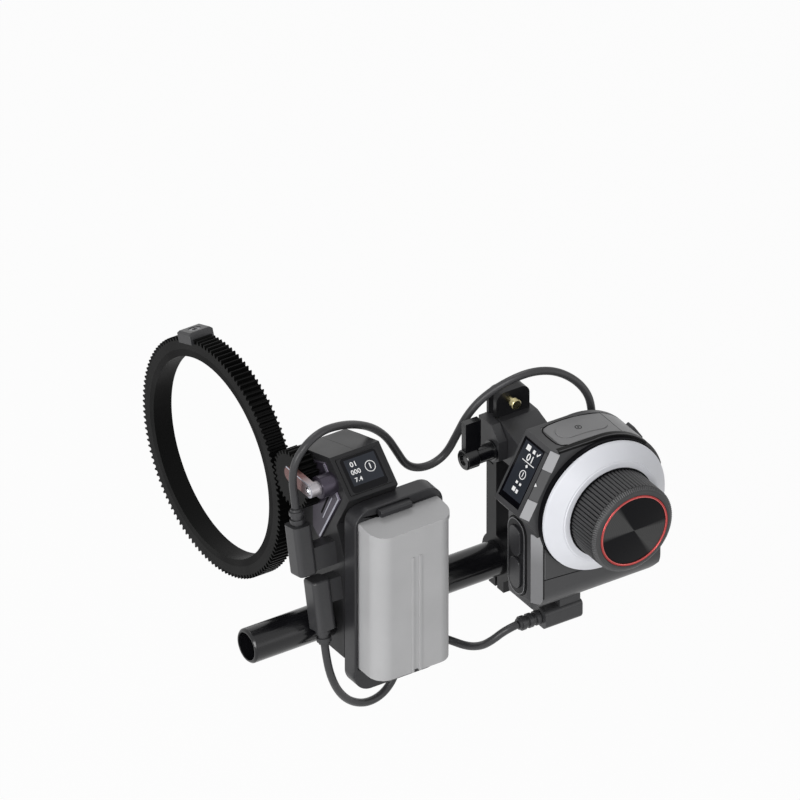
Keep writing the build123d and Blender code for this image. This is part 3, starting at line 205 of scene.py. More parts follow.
def highlightWedgeShare(tree, place, settings):
    # painted highlight: two paler wedges where a turned metal face would catch the lamps, and fine rings round
    # the wheel's axis
    parts = addNode(tree, "ShaderNodeSeparateXYZ", Vector=place).outputs
    x, z = (addMath(tree, "SUBTRACT", parts[axis], middle * mm) for axis, middle in zip("XZ", wheelAxis))
    angle = addMath(tree, "ARCTAN2", z, x)
    doubled = addMath(tree, "MULTIPLY_ADD", angle, 2.0, -2 * math.radians(settings["turn"]))
    wedge = addRange(tree, addMath(tree, "COSINE", doubled), settings["edge"])
    squares = addMath(tree, "ADD", addMath(tree, "MULTIPLY", x, x), addMath(tree, "MULTIPLY", z, z))
    radius = addMath(tree, "SQRT", squares)
    rings = addMath(tree, "SINE", addMath(tree, "MULTIPLY", radius, 2 * math.pi / (settings["pitch"] * mm)))
    depth = settings["ringDepth"]
    return addMath(tree, "MULTIPLY", wedge, addMath(tree, "MULTIPLY_ADD", rings, depth, 1 - depth))


secondColors = {"towards": sideShare, "spunRingsAndHighlight": highlightWedgeShare}


def makeFinish(name, settings):
    settings = {**plain, **settings}
    material = bpy.data.materials.new(name)
    material.use_nodes = True
    tree = material.node_tree
    place = tree.nodes.new("ShaderNodeTexCoord").outputs["Object"]
    cloud = addNoise(tree, place, surface["cloudScale"], surface["cloudDetail"])   # slow change over the piece
    grain = addNoise(tree, place, surface["grainScale"], surface["grainDetail"])   # moulded or blasted grain
    color = addMix(tree, opaque(settings["color"], 1 - surface["spread"]),
                   opaque(settings["color"], 1 + surface["spread"]), cloud)
    for kind, share in secondColors.items():
        if kind in settings:
            color = addMix(tree, color, opaque(settings[kind]["color"]), share(tree, place, settings[kind]))
    bump = addNode(tree, "ShaderNodeBump", Strength=settings["grain"], Distance=surface["grainDepth"] * mm,
                   Height=grain)
    for socket, value in {
            "Base Color": color, "Roughness": addRange(tree, cloud, surface["cloudRange"], settings["rough"]),
            "Normal": bump.outputs["Normal"], "Metallic": settings["metal"], "Coat Weight": settings["coat"],
            "Coat Roughness": surface["coatRough"], "Specular IOR Level": settings["shine"]}.items():
        setInput(tree, tree.nodes["Principled BSDF"].inputs[socket], value)
    return material


materials = {name: makeFinish(name, settings) for name, settings in finishes.items()}


def paint(thing, name):
    if not len(thing.data.materials):
        thing.data.materials.append(None)
    for slot in thing.material_slots:
        slot.material = materials[name]


for node, thing in nodes.items():
    paint(thing, slotOf[node])
print("finishes made", len(materials))


# pieces made from the frame's own shapes, with their edges rounded; widths in mm, angles in degrees

rounding = {
    "controller_front_shell": {"width": 0.7}, "controller_back_shell": {"width": 0.7},
    "controller_base": {"width": 0.6}, "top_cover": {"width": 0.4, "finish": "cover_grey"},
    "record_button": {"width": 0.35, "finish": "cover_grey"}, "power_switch": {"width": 0.5},
    "side_pad": {"width": 0.3}, "side_button_lower": {"width": 0.7}, "side_button_upper": {"width": 0.7},
    "edge_trim": {"width": 0.12}, "display_glass": {"width": 0.1},
    "motor_front_shell": {"width": 1.1}, "motor_rear_shell": {"width": 1.1},
    "motor_display_glass": {"width": 0.1}, "battery": {"width": 0.5},
    "battery_plate": {"width": 0.8}, "battery_latch": {"width": 0.3}, "rail_bracket": {"width": 0.5},
    "clamp_body": {"width": 0.35, "angle": 14, "smooth": 12, "steps": 2, "weighted": False},
    "clamp_jaw": {"width": 0.4, "angle": 20, "smooth": 16, "steps": 2, "weighted": False},
    "clamp_lever": {"width": 0.6}, "clamp_screw": {"width": 0.25},
    "rod_clamp_block": {"width": 0.8}, "ring_clamp_block": {"width": 0.4}, "support_rod": {"width": 0.2},
    "motor_control_plug": {"width": 1.4}, "motor_power_plug": {"width": 1.4},
    "controller_power_plug": {"width": 1.0}, "controller_control_plug": {"width": 1.0},
    "power_splitter": {"width": 0.6}, "lock_lever": {"width": 0.5}, "lock_screw": {"width": 0.2},
}

usual = {"angle": 35.0, "smooth": 38.0, "steps": 3, "weighted": True}   # where a piece says nothing else
joinDistance = 2e-6    # m, under which corners are one
flatAngle = 0.6        # degrees, under which faces are one


def toMesh(solid, name):
    mesh = bpy.data.meshes.new(name)
    solid.to_mesh(mesh)
    solid.free()
    return mesh


def applied(thing, name):
    graph = bpy.context.evaluated_depsgraph_get()
    mesh = bpy.data.meshes.new_from_object(thing.evaluated_get(graph))
    mesh.name = name
    bpy.data.objects.remove(thing)
    return mesh


def finished(name, mesh, body, finish, smooth):
    piece = addObject(name, mesh)
    mesh.shade_smooth()
    mesh.set_sharp_from_angle(angle=math.radians(smooth))
    mesh.materials.clear()
    mesh.materials.append(materials[finish])
    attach(piece, body)
    return piece


def cleanCopy(node):
    solid = bmesh.new()
    solid.from_mesh(nodes[node].data)
    bmesh.ops.remove_doubles(solid, verts=solid.verts, dist=joinDistance)
    bmesh.ops.dissolve_limit(solid, angle_limit=math.radians(flatAngle), verts=solid.verts, edges=solid.edges)
    return toMesh(solid, node)


def roundedPiece(node, settings):
    settings = {**usual, **settings}
    mesh = cleanCopy(node)
    mesh.shade_smooth()
    worker = addObject(node + "_worker", mesh)
    bevel = worker.modifiers.new("edges", "BEVEL")
    bevel.width = settings["width"] * mm
    bevel.segments = settings["steps"]
    bevel.limit_method = "ANGLE"
    bevel.angle_limit = math.radians(settings["angle"])
    bevel.use_clamp_overlap = True
    bevel.miter_outer = "MITER_ARC"
    if settings["weighted"]:
        worker.modifiers.new("shading", "WEIGHTED_NORMAL").keep_sharp = True
    piece = finished(node + "_skin", applied(worker, node + "_skin"), bodyOf[node],
                     settings.get("finish", slotOf[node]), settings["smooth"])
    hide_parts(node)
    return piece


skins = {node: roundedPiece(node, settings) for node, settings in rounding.items()}
print("rounded pieces", len(skins))


# cords: routes in mm from the rod's front end, and the plugs on their ends

cords = {
    "control_cable": {"length": 0.2196, "plugs": ("motor_control_plug", "controller_control_plug"), "route": [
        (24.9, 1.2, 57.8), (24.9, 2.4, 63.4), (24.0, 2.4, 71.4), (24.2, 1.0, 80.2), (29.2, 0.6, 87.3),
        (37.8, 2.2, 90.0), (47.8, 5.4, 87.4), (58.0, 8.5, 83.0), (67.6, 10.2, 77.2),
        (75.0, 10.6, 69.8), (79.6, 10.1, 61.2), (83.4, 9.2, 53.6), (89.4, 8.7, 50.1), (96.4, 8.0, 50.3),
        (102.1, 7.0, 54.2), (105.6, 5.2, 62.6), (108.6, 2.4, 72.4), (114.2, -1.0, 81.2),
        (123.0, -4.8, 87.6), (133.4, -7.2, 90.3), (143.8, -9.0, 88.3), (152.2, -11.4, 82.4),
        (157.2, -13.8, 75.0), (158.2, -15.4, 67.2), (158.0, -15.5, 61.1)]},
    "motor_power_cable": {"length": 0.0749, "plugs": ("motor_power_plug",), "route": [
        (29.7, -12.8, -2.0), (29.7, -14.1, -8.2), (31.2, -15.0, -17.4), (35.6, -14.0, -27.2),
        (42.4, -12.2, -35.4), (51.2, -10.6, -40.4), (60.0, -9.2, -40.2), (66.2, -8.2, -35.2),
        (68.0, -8.0, -29.2), (68.0, -8.0, -24.1)]},
    "controller_power_cable": {"length": 0.0480, "plugs": ("controller_power_plug",), "route": [
        (80.1, -8.0, -20.0), (85.2, -8.1, -20.2), (91.4, -11.2, -23.4), (95.8, -17.6, -24.6),
        (98.2, -24.2, -21.8), (100.2, -29.4, -17.0), (105.0, -32.6, -11.6), (110.4, -33.0, -10.7)]},
}
cordThickness = 3.4 * mm
cordSteps = {"along": 10, "around": 6}


def makeCord(node, settings):
    points = [rodEnd + Vector(point) * mm for point in settings["route"]]
    curve = bpy.data.curves.new(node + "_line", "CURVE")
    curve.dimensions = "3D"
    curve.bevel_depth = 1.0        # each point's own radius sets the thickness
    curve.bevel_resolution = cordSteps["around"]
    curve.use_fill_caps = True
    spline = curve.splines.new("NURBS")
    spline.points.add(len(points) - 1)
    for point, place in zip(spline.points, points):
        point.co = (*place, 1)
        point.radius = cordThickness / 2
    spline.order_u = 3
    spline.use_endpoint_u = True
    spline.resolution_u = cordSteps["along"]
    cord = addObject(node + "_sleeve", curve)
    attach(cord, "frame")
    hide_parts(node)
    paint(cord, slotOf[node])


for node, settings in cords.items():
    makeCord(node, settings)
print("cords laid", len(cords))


# hand wheel, turned about its own axis

wheelPlace = Matrix.Translation(Vector((wheelAxis[0], 0, wheelAxis[1])) * mm)
wheelTurn = wheelPlace @ Matrix.Rotation(math.radians(90), 4, "X")   # local +Z is towards -Y

turnedParts = {   # profile: radius and distance in front of the bracket's back face, mm
    "marking_disk": {"smooth": 24, "profile": [
        (20.0, 53.7), (29.2, 53.7), (29.5, 54.0), (29.5, 55.0), (29.35, 55.35), (29.1, 55.6), (23.5, 59.55),
        (23.3, 59.75), (22.75, 59.9), (22.55, 60.2), (22.2, 60.3), (20.1, 60.3), (20.0, 60.2)]},
    # painted shade: the grip's face between its ribs is covered in near black, as the grooves lie in shade
    "grip_sleeve": {"of": "wheel_grip", "finish": "wheel_black", "smooth": 30, "profile": [
        (18.9, 60.4), (19.3, 60.4), (19.3, 74.7), (18.9, 74.7)]},
    "wheel_grip": {"smooth": 30, "profile": [
        (17.1, 60.9), (18.9, 60.9), (19.25, 61.3), (19.25, 74.9), (18.75, 76.2), (17.9, 77.1), (17.3, 77.4),
        (16.5, 77.4), (16.3, 77.2), (16.3, 75.5), (17.1, 75.5)]},
    "trim_ring": {"smooth": 20, "profile": [
        (15.3, 75.5), (16.2, 75.5), (16.2, 77.3), (16.05, 77.5), (15.8, 77.45), (15.62, 77.25), (15.5, 77.45),
        (15.3, 77.3)]},
    # painted highlight: a paler red line on the inner bead of the trim ring
    "ring_inner_line": {"of": "trim_ring", "finish": "ring_rose", "smooth": 20, "profile": [
        (15.32, 77.2), (15.62, 77.2), (15.62, 77.42), (15.47, 77.5), (15.32, 77.42)]},
    "wheel_cap": {"smooth": 30, "profile": [(0, 75.5), (15.2, 75.5), (15.25, 77.1), (15.0, 77.2), (0, 77.2)]},
}
turnedSteps = 180


def circle(across, up, radius, steps=40):
    angles = [2 * math.pi * step / steps for step in range(steps)]
    return [(across + radius * math.cos(a), up + radius * math.sin(a)) for a in angles]


def turnedMesh(name, profile):
    solid = bmesh.new()
    rings = []
    for radius, depth in profile:
        around = circle(0, 0, radius, turnedSteps) if radius else [(0, 0)]
        rings.append([solid.verts.new((x * mm, y * mm, depth * mm)) for x, y in around])
    closed = rings if len(rings[0]) == 1 else rings + rings[:1]
    for low, high in zip(closed, closed[1:]):
        for step in range(turnedSteps):
            after = (step + 1) % turnedSteps
            corners = [low[step % len(low)], low[after % len(low)], high[after % len(high)],
                       high[step % len(high)]]
            corners = list(dict.fromkeys(corners))   # a centre point counts once
            if len(corners) > 2:
                solid.faces.new(corners)
    solid.transform(wheelTurn)
    bmesh.ops.recalc_face_normals(solid, faces=solid.faces)
    return toMesh(solid, name)


for name, settings in turnedParts.items():
    node = settings.get("of", name)
    turned = finished(name + "_turned", turnedMesh(name, settings["profile"]), "focus_wheel",
                      settings.get("finish", slotOf[node]), settings["smooth"])
    if node == name:
        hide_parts(node)
print("hand wheel turned", len(turnedParts))


# bars set round a ring: grip ribs and the fine teeth of the grip's nose

barRings = {   # depth is how far along the wheel's axis the ring sits; lengths in mm, lean in degrees
    "grip_ribs": {"Count": 72, "Ring Radius": 19.2, "Bar Radius": 0.62, "Bar Length": 14.2, "Stand Out": 0.75,
                  "Lean": 0.0, "depth": 67.9, "finish": "grip_rubber", "node": "wheel_grip"},
    "grip_teeth": {"Count": 122, "Ring Radius": 18.78, "Bar Radius": 0.36, "Bar Length": 1.9, "Stand Out": 0.9,
                   "Lean": -42.0, "depth": 75.95, "finish": "facet_grey", "node": "wheel_grip"},
}
barUnits = {"Count": 1, "Stand Out": 1, "Lean": math.pi / 180}   # every other size is in mm
barSides = 10
barSmooth = 40

ringInputs = {"Count": ("Int", 60), "Ring Radius": ("Float", 0.02), "Bar Radius": ("Float", 0.001),
              "Bar Length": ("Float", 0.01), "Stand Out": ("Float", 0.6), "Lean": ("Float", 0.0)}


def makeRingTree():
    tree = bpy.data.node_groups.new("ringOfBars", "GeometryNodeTree")
    tree.interface.new_socket("Geometry", in_out="OUTPUT", socket_type="NodeSocketGeometry")
    for name, (kind, value) in ringInputs.items():
        tree.interface.new_socket(name, in_out="INPUT", socket_type="NodeSocket" + kind).default_value = value
    tree.interface.new_socket("Finish", in_out="INPUT", socket_type="NodeSocketMaterial")
    given = tree.nodes.new("NodeGroupInput").outputs
    ring = addNode(tree, "GeometryNodeMeshCircle", Vertices=given["Count"], Radius=given["Ring Radius"])
    bar = addNode(tree, "GeometryNodeMeshCylinder", Vertices=barSides, Radius=given["Bar Radius"],
                  Depth=given["Bar Length"])
    place = tree.nodes.new("GeometryNodeInputPosition")
    turn = addNode(tree, "FunctionNodeAlignRotationToVector", Vector=place.outputs[0])
    turn.axis, turn.pivot_axis = "X", "Z"
    shape = addNode(tree, "ShaderNodeCombineXYZ", X=given["Stand Out"], Y=1.0, Z=1.0)
    bars = addNode(tree, "GeometryNodeInstanceOnPoints", Points=ring.outputs["Mesh"],
                   Instance=bar.outputs["Mesh"], Rotation=turn.outputs[0], Scale=shape.outputs[0])
    lean = addNode(tree, "ShaderNodeCombineXYZ", Y=given["Lean"])
    leaning = addNode(tree, "GeometryNodeRotateInstances", Instances=bars.outputs[0], Rotation=lean.outputs[0])
    real = addNode(tree, "GeometryNodeRealizeInstances", Geometry=leaning.outputs[0])
    painted = addNode(tree, "GeometryNodeSetMaterial", Geometry=real.outputs[0], Material=given["Finish"])
    addNode(tree, "NodeGroupOutput", Geometry=painted.outputs[0])
    return tree


ringTree = makeRingTree()


def barRing(name, settings):
    worker = addObject(name + "_worker", bpy.data.meshes.new(name + "_worker"))
    modifier = worker.modifiers.new("bars", "NODES")
    modifier.node_group = ringTree
    for item in ringTree.interface.items_tree:
        if item.in_out == "INPUT" and item.name == "Finish":
            modifier[item.identifier] = materials[settings["finish"]]
        elif item.in_out == "INPUT":
            modifier[item.identifier] = settings[item.name] * barUnits.get(item.name, mm)
    mesh = applied(worker, name)
    mesh.transform(wheelTurn @ Matrix.Translation((0, 0, settings["depth"] * mm)))
    node = settings["node"]
    finished(name, mesh, bodyOf[node], settings["finish"], barSmooth)


for name, settings in barRings.items():
    barRing(name, settings)
print("bar rings set", len(barRings))


# flat pieces: closed shapes built into a bmesh, in mm unless they are placed from the rod's end

flatSmooth = 30


def addShell(solid, loops, closed=False):
    # walls between loops of corners; the first and last loop are filled, or joined where closed
    for first, second in zip(loops, loops[1:] + (loops[:1] if closed else [])):
        for index in range(len(first)):
            after = (index + 1) % len(first)
            solid.faces.new((first[index], first[after], second[after], second[index]))
    if not closed:
        solid.faces.new(loops[0][::-1])
        solid.faces.new(loops[-1])


def addLevel(solid, outline, height):
    return [solid.verts.new((x * mm, y * mm, height * mm)) for x, y in outline]


def addPrism(solid, outline, low, high):
    if sum(x0 * y1 - x1 * y0 for (x0, y0), (x1, y1) in zip(outline, outline[1:] + outline[:1])) < 0:
        outline = outline[::-1]
    addShell(solid, [addLevel(solid, outline, low), addLevel(solid, outline, high)])


def addFrame(solid, inner, outer, low, high):
    # flat frame between two outlines that have as many corners
    sides = ((inner, low), (outer, low), (outer, high), (inner, high))
    addShell(solid, [addLevel(solid, outline, height) for outline, height in sides], closed=True)


def makeFlat(name, matrix, body, finish, build):
    solid = bmesh.new()
    build(solid)
    bmesh.ops.recalc_face_normals(solid, faces=solid.faces)
    solid.transform(matrix)
    finished(name, toMesh(solid, name), body, finish, flatSmooth)


def prism(outline, low, high):
    return lambda solid: addPrism(solid, outline, low, high)


def border(inner, outer, low, high):
    return lambda solid: addFrame(solid, inner, outer, low, high)


# screens: prints and panels on the two display glasses; across and up are in mm from the glass's centre

screens = {
    "controller": {"centre": (-16.2, -39.95, 33.3), "across": (0, -1, 0),
                   "up": (headSlope[0], 0, headSlope[1])},
    "motor": {"centre": (-78.65, -16.8, 44.3), "across": (1, 0, 0), "up": (0, 0.7372, 0.6757)},
}
printLift = 0.12      # mm above the glass's middle
printThick = 0.05     # mm
lettering = {"scale": 1.42, "depth": 0.02, "weight": 0.02, "spacing": 1.05, "lift": 0.03}


def screenPlace(settings):
    across, up = Vector(settings["across"]).normalized(), Vector(settings["up"]).normalized()
    out = across.cross(up)
    turn = Matrix((across, up, out)).transposed().to_4x4()
    return Matrix.Translation((Vector(settings["centre"]) + printLift * out) * mm) @ turn


def rectangle(left, right, low, high):
    return [(left, low), (right, low), (right, high), (left, high)]


def roundBox(width, height, radius, steps=8):
    points = []
    for corner, (side, top) in enumerate(((1, 1), (-1, 1), (-1, -1), (1, -1))):
        for step in range(steps + 1):
            angle = math.radians(90 * (corner + step / steps))
            points.append((side * (width / 2 - radius) + radius * math.cos(angle),
                           top * (height / 2 - radius) + radius * math.sin(angle)))
    return points


def addWords(solid, words, size, across, up, stretch):
    curve = bpy.data.curves.new("words", "FONT")
    curve.body = words
    curve.size = size * lettering["scale"]
    curve.extrude = lettering["depth"]
    curve.align_x, curve.align_y = "CENTER", "CENTER"
    curve.space_character = lettering["spacing"]
    curve.offset = lettering["weight"] * size
    mesh = applied(addObject("words", curve), "words")
    place = Matrix.Translation((across * mm, up * mm, lettering["lift"] * mm))
    mesh.transform(place @ Matrix.Diagonal((stretch * mm, mm, mm, 1)))
    solid.from_mesh(mesh)
    bpy.data.meshes.remove(mesh)


controllerMarks = {   # ring: across, up and the two radii; words: text, size, across, up and stretch
    "ring": (-0.1, -0.4, 1.65, 2.0), "words": [("1", 2.0, -0.1, -0.4, 1.0), ("01", 3.0, 0.0, 7.0, 1.15)],
    "blocks": [
        rectangle(-4.9, -2.2, 9.3, 11.6), rectangle(-0.3, 1.3, 9.6, 11.2), rectangle(-4.3, 4.1, 4.85, 5.2),
        rectangle(-2.1, -0.8, -4.9, -3.8), rectangle(0.4, 1.6, -4.9, -3.9),
        rectangle(-2.5, -0.5, -8.3, -6.5), rectangle(0.1, 1.5, -8.4, -6.8),
        [(-0.9, 3.5), (-0.1, 2.7), (0.7, 3.5), (-0.1, 4.3)],
        [(2.6, 10.9), (3.1, 10.3), (4.6, 11.8), (4.6, 11.0), (3.1, 9.5), (2.6, 10.1)]]}

motorMarks = {
    "ring": (3.6, 1.2, 2.1, 2.4), "blocks": [],
    "words": [("01", 2.1, -3.2, 4.1, 1.1), ("000", 2.0, -3.5, 0.8, 1.05), ("7.4", 1.8, -3.6, -2.5, 1.1),
              ("1", 2.4, 3.6, 1.2, 1.0)]}


def marks(settings):
    def build(solid):
        for outline in settings["blocks"]:
            addPrism(solid, outline, 0.0, printThick)
        across, up, inner, outer = settings["ring"]
        addFrame(solid, circle(across, up, inner), circle(across, up, outer), 0.0, printThick)
        for words in settings["words"]:
            addWords(solid, *words)
    return build


screenPieces = {   # which screen, finish, slot and shape
    "controller_screen_area": ("controller", "screen_slate", "screen_glass",
                               prism(rectangle(-7.0, 5.6, -10.9, 12.6), -0.06, 0.0)),
    "controller_screen_marks": ("controller", "print_white", "disk_white", marks(controllerMarks)),
    "controller_screen_edge": ("controller", "case_plastic", "case_plastic",
                               prism(rectangle(6.3, 8.45, -13.45, 13.45), -0.1, 0.1)),
    "controller_pointer": ("controller", "print_white", "disk_white",
                           prism([(9.0, -1.2), (10.3, -0.4), (9.0, 0.4)], -0.13, 0.05)),
    "motor_screen_area": ("motor", "screen_slate", "screen_glass",
                          prism(rectangle(-6.9, 7.7, -4.7, 6.6), -0.06, 0.0)),
    "motor_screen_marks": ("motor", "print_white", "disk_white", marks(motorMarks)),
    "motor_screen_edge": ("motor", "motor_plastic", "motor_plastic",
                          border(roundBox(17.2, 15.5, 1.6), roundBox(20.0, 16.0, 0.2), -0.1, 0.1)),
}

for name, (screen, finish, slotName, build) in screenPieces.items():
    makeFlat(name, screenPlace(screens[screen]), "frame", finish, build)
print("screens printed", len(screenPieces))


# lines and facets on the casings: points are in mm from the rod's front end

towardsFront, towardsLeft, upwards = (0, -1, 0), (-1, 0, 0), (0, 0, 1)
caseRound = {"x": 143.1, "z": 43.7, "radius": 31.2, "stepAngle": 2.0}   # the round of the controller's top
coverRound = {"x": 135.1, "z": 5.32, "radius": 70.0, "lowest": 75.08, "lowestUpTo": 130.0}
headCorner = (105.8, 47.5)                       # x and z of the display head's lower corner
lineThick, sheetThick = 0.12, 0.12               # mm
stripSides = ((-1, -1), (1, -1), (1, 1), (-1, 1))

leverEdge = {"x": 27.4, "start": (12.4, 71.0), "y": -4.3, "z": 68.2, "radius": 2.75, "steps": 12}

coverGroove = {   # round the cover's left end, along its back edge and down the round
    "corner": [(129.0, -41.7), (126.8, -40.8), (125.5, -38.6), (125.2, -35.5), (125.2, -31.4), (125.6, -28.2),
               (127.0, -26.1), (129.6, -25.2)],
    "edge": (134.0, 140.0, 146.0, 151.0, 155.4), "back": -25.1, "lift": 0.06, "turns": (64.0, 46.0)}

caseBand = {   # dark band between the cover and the wheel's carrier
    "section": [(0.08, -41.75), (0.08, -43.3), (-0.03, -43.8), (-0.4, -44.08), (-1.25, -44.08), (-1.25, -43.9),
                (-0.5, -43.7), (-0.1, -41.75)],
    "start": [(123.2, 75.07, 90.0), (140.2, 74.83, 92.0)], "turns": (94.0, 42.0)}

coverTail = {   # the cover's finish goes on to the switch
    "section": [(0.06, -41.6), (0.06, -25.2), (-0.2, -25.2), (-0.2, -41.6)], "start": [], "turns": (66.4, 45.0)}

headFacet = [(9.2, -41.5, 0), (22.4, -41.5, 0), (22.4, -44, -3), (9.2, -44, -3)]   # along the head, y and out

symbol = {"at": (139.6, -33.4, 75.36), "tilt": 4.0, "ring": (1.15, 1.5), "dot": 0.5, "dotSteps": 20,
          "thick": 0.14}


def slotLine(x, middle, width, height, steps=12):
    # upright slot outline in a plane across X
    y, z = middle
    r, half = width / 2, (height - width) / 2
    turns = [math.pi * step / steps for step in range(steps + 1)]
    upper = [(x, y + r * math.cos(a), z + half + r * math.sin(a)) for a in turns]
    return upper + [(x, y - r * math.cos(a), z - half - r * math.sin(a)) for a in turns]


def leverLine(lever):
    # along the lever's upper edge and round its end
    turns = [math.pi * (0.5 + step / lever["steps"]) for step in range(lever["steps"] + 1)]
    x, y, z, radius = (lever[name] for name in ("x", "y", "z", "radius"))
    return [(x, *lever["start"])] + [(x, y + radius * math.cos(a), z + radius * math.sin(a)) for a in turns]


def aroundCase(first, last):
    # places along the round of the case's top, with the direction outwards in degrees
    count = int(abs(first - last) / caseRound["stepAngle"]) + 1
    turns = [first + (last - first) * step / (count - 1) for step in range(count)]
    return [(caseRound["x"] + caseRound["radius"] * math.cos(math.radians(turn)),
             caseRound["z"] + caseRound["radius"] * math.sin(math.radians(turn)), turn) for turn in turns]


def onCover(x, y):
    z = coverRound["z"] + math.sqrt(coverRound["radius"] ** 2 - (x - coverRound["x"]) ** 2)
    return (x, y, max(coverRound["lowest"], z) if x < coverRound["lowestUpTo"] else z)


def coverLine(groove):
    flat = groove["corner"] + [(x, groove["back"]) for x in groove["edge"]]
    tail = [(x, groove["back"], z + groove["lift"]) for x, z, turn in aroundCase(*groove["turns"])]
    return [onCover(x, y) for x, y in flat] + tail


def onHead(along, y, out):
    # along the display head's facet from its lower corner
    x, z = headSlope
    return (headCorner[0] + x * along - z * out, y, headCorner[1] + z * along + x * out)


def addStrip(solid, points, width, normal, closed=False):
    places = [rodEnd + Vector(point) * mm for point in points]
    lift = Vector(normal).normalized() * (lineThick * mm / 2)
    last = len(places) - 1
    loops = []
    for index, place in enumerate(places):
        before = places[index - 1] if index or closed else place
        after = places[(index + 1) % len(places)] if index < last or closed else place
        side = (after - before).cross(lift).normalized() * (width * mm / 2)
        loops.append([solid.verts.new(place + a * side + b * lift) for a, b in stripSides])
    addShell(solid, loops, closed)


def addSheet(solid, corners):
    # thin sheet over a flat outline
    places = [rodEnd + Vector(corner) * mm for corner in corners]
    normal = (places[1] - places[0]).cross(places[2] - places[0]).normalized() * (sheetThick * mm / 2)
    addShell(solid, [[solid.verts.new(place + side * normal) for place in places] for side in (-1, 1)])


def swept(settings):
    # section: (lift, y) corners; the path's places are x, z and the direction outwards
    def build(solid):
        loops = []
        for x, z, turn in settings["start"] + aroundCase(*settings["turns"]):
            out = (math.cos(math.radians(turn)), math.sin(math.radians(turn)))
            loops.append([solid.verts.new(rodEnd + Vector((x + lift * out[0], y, z + lift * out[1])) * mm)
                          for lift, y in settings["section"]])
        addShell(solid, loops)
    return build


def addFacet(solid):
    # paler facet beside the display's middle: painted light, a lit copy of the case plastic
    addSheet(solid, [onHead(*corner) for corner in headFacet])


def addSymbol(solid):
    # plain ring and dot on the record button
    inner, outer = symbol["ring"]
    addFrame(solid, circle(0, 0, inner), circle(0, 0, outer), 0.0, symbol["thick"])
    addPrism(solid, circle(0, 0, symbol["dot"], symbol["dotSteps"]), 0.0, symbol["thick"])
    tilt = Matrix.Rotation(math.radians(symbol["tilt"]), 4, "Y")
    solid.transform(Matrix.Translation(rodEnd + Vector(symbol["at"]) * mm) @ tilt)


def line(points, width, normal, closed=False):
    return lambda solid: addStrip(solid, points, width, normal, closed)


trims = {   # node, finish and shape; a line has its points, its width in mm and the way it faces
    "case_band": ("controller_front_shell", "band_black", swept(caseBand)),
    "cover_tail": ("controller_front_shell", "cover_grey", swept(coverTail)),
    "record_symbol": ("record_button", "band_black", addSymbol),
    # painted light: a paler sheet of the case plastic on a facet of the head
    "head_facet": ("controller_front_shell", "facet_grey", addFacet),
    "front_seam": ("controller_front_shell", "groove_black",
                   line([(115.9, -44, 14.7), (171.2, -44, 10.8)], 0.34, towardsFront)),
    "strip_seam": ("controller_front_shell", "groove_black",
                   line([(116.1, -44, 5.5), (116.1, -44, 35.2)], 0.34, towardsFront)),
    # painted highlight: a pale line along the front panel's left edge
    "strip_light": ("controller_front_shell", "highlight_grey",
                    line([(116.6, -44, 15.2), (116.6, -44, 28.0)], 0.22, towardsFront)),
    "cover_groove": ("controller_front_shell", "groove_black", line(coverLine(coverGroove), 0.55, upwards)),
    # painted highlight: a pale line round the side pad, where its edge catches the light
    "pad_line": ("side_pad", "highlight_grey",
                 line(slotLine(111.9, (-29.65, 20.5), 11.9, 35.6), 0.34, towardsLeft, closed=True)),
    "pad_border": ("controller_front_shell", "groove_black",
                   line(slotLine(112.7, (-29.65, 20.5), 13.4, 37.1), 0.5, towardsLeft, closed=True)),
    "side_plate_edge": ("motor_side_plate", "edge_silver",
                        line([(38.3, 1.4, 74.4), (38.3, -10.0, 63.3), (38.3, 4.0, 38.0)], 0.85, towardsLeft)),
    "side_plate_band": ("motor_side_plate", "groove_black",
                        line([(38.3, -3.2, 62.0), (38.3, 2.7, 50.0)], 0.9, towardsLeft)),
    "side_plate_line": ("motor_side_plate", "edge_silver",
                        line([(38.3, -5.2, 61.6), (38.3, 1.6, 48.2)], 0.5, towardsLeft)),
    # silver line along the lever's upper edge and round its end: partly its bright edge, partly a painted
    # highlight
    "lever_edge": ("lock_lever", "edge_silver", line(leverLine(leverEdge), 0.6, towardsLeft)),
}

for name, (node, finish, build) in trims.items():
    makeFlat(name, Matrix(), bodyOf[node], finish, build)
print("lines and facets set", len(trims))


# studio: sizes in m, power in W

lamps = {
    "keyLamp": {"from": (-1.1, -1.2, 1.0), "size": 0.7, "power": 15.0},
    "fillLamp": {"from": (1.3, -1.5, 0.4), "size": 1.2, "power": 4.0},
    "sideLamp": {"from": (-1.8, -0.7, 0.35), "size": 0.8, "power": 15.0},
    "topLamp": {"from": (0.1, 0.7, 1.7), "size": 0.9, "power": 7.0},
}
lampTarget = Vector((0, 0, 0.02))

studio = {"ambient": 0.32, "floorDrop": 0.30, "floorSize": 8.0, "floorShade": 0.85, "floorRough": 0.9,
          "floorGlow": 0.94}


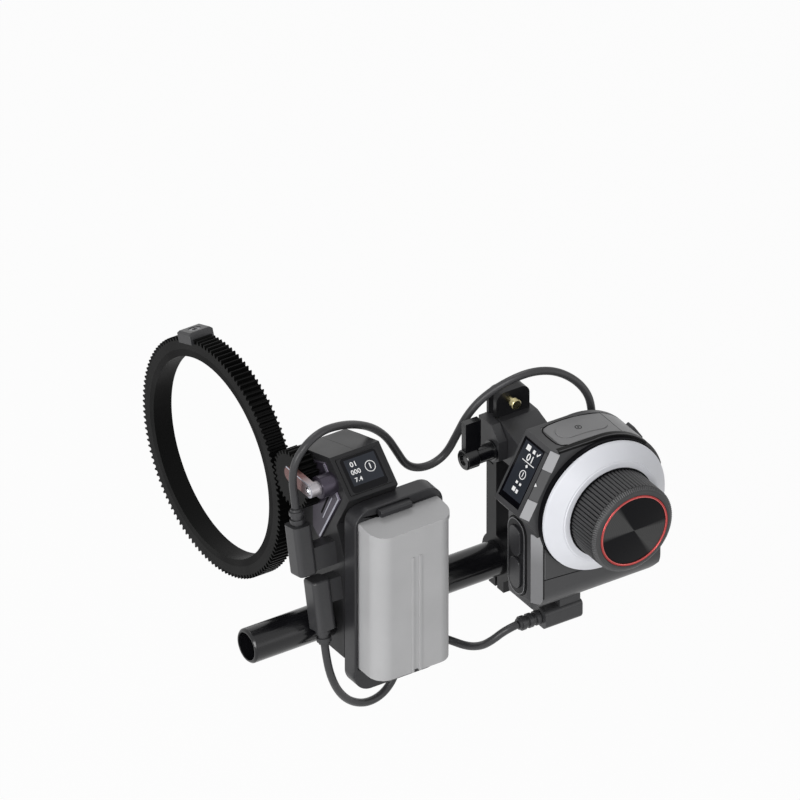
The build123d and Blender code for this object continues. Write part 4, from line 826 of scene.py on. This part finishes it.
def makeLamp(name, settings):
    data = bpy.data.lights.new(name, "AREA")
    data.shape = "DISK"
    data.size, data.energy = settings["size"], settings["power"]
    away = (Vector(settings["from"]) - lampTarget).normalized()
    turn = away.to_track_quat("Z", "Y").to_matrix().to_4x4()
    addObject(name, data).matrix_world = Matrix.Translation(settings["from"]) @ turn


def seenDirectly(tree):
    # 1 for camera, mirror and glass rays, 0 for the light that falls on the object
    rays = tree.nodes.new("ShaderNodeLightPath").outputs
    mirrored = addMath(tree, "MAXIMUM", rays["Is Camera Ray"], rays["Is Glossy Ray"])
    return addMath(tree, "MAXIMUM", mirrored, rays["Is Transmission Ray"])


def makeWorld(settings):
    scene.world = bpy.data.worlds.new("studio")
    scene.world.use_nodes = True
    tree = scene.world.node_tree
    strength = addRange(tree, seenDirectly(tree), (0.0, 1.0), (settings["ambient"], 1.0))
    background = tree.nodes["Background"]
    setInput(tree, background.inputs["Strength"], strength)
    setInput(tree, background.inputs["Color"], (1, 1, 1, 1))


def makeFloor(settings):
    half, z = settings["floorSize"] / 2, cadBox[0][2] - settings["floorDrop"]
    mesh = bpy.data.meshes.new("floor")
    corners = [(x * half, y * half, z) for x, y in ((-1, -1), (1, -1), (1, 1), (-1, 1))]
    mesh.from_pydata(corners, [], [(0, 1, 2, 3)])
    floor = addObject("floor", mesh)
    material = bpy.data.materials.new("floorPaint")
    material.use_nodes = True
    tree = material.node_tree
    matt = tree.nodes["Principled BSDF"]
    matt.inputs["Base Color"].default_value = opaque([settings["floorShade"]] * 3)
    matt.inputs["Roughness"].default_value = settings["floorRough"]
    glow = tree.nodes.new("ShaderNodeEmission")
    mix = tree.nodes.new("ShaderNodeMixShader")
    sources = (addMath(tree, "MULTIPLY", seenDirectly(tree), settings["floorGlow"]), matt.outputs["BSDF"],
               glow.outputs["Emission"])
    for socket, source in zip(mix.inputs, sources):
        setInput(tree, socket, source)
    setInput(tree, tree.nodes["Material Output"].inputs["Surface"], mix.outputs["Shader"])
    mesh.materials.append(material)


for name, settings in lamps.items():
    makeLamp(name, settings)
makeWorld(studio)
makeFloor(studio)
scene.view_settings.view_transform = "Standard"
print("studio lit", len(lamps))
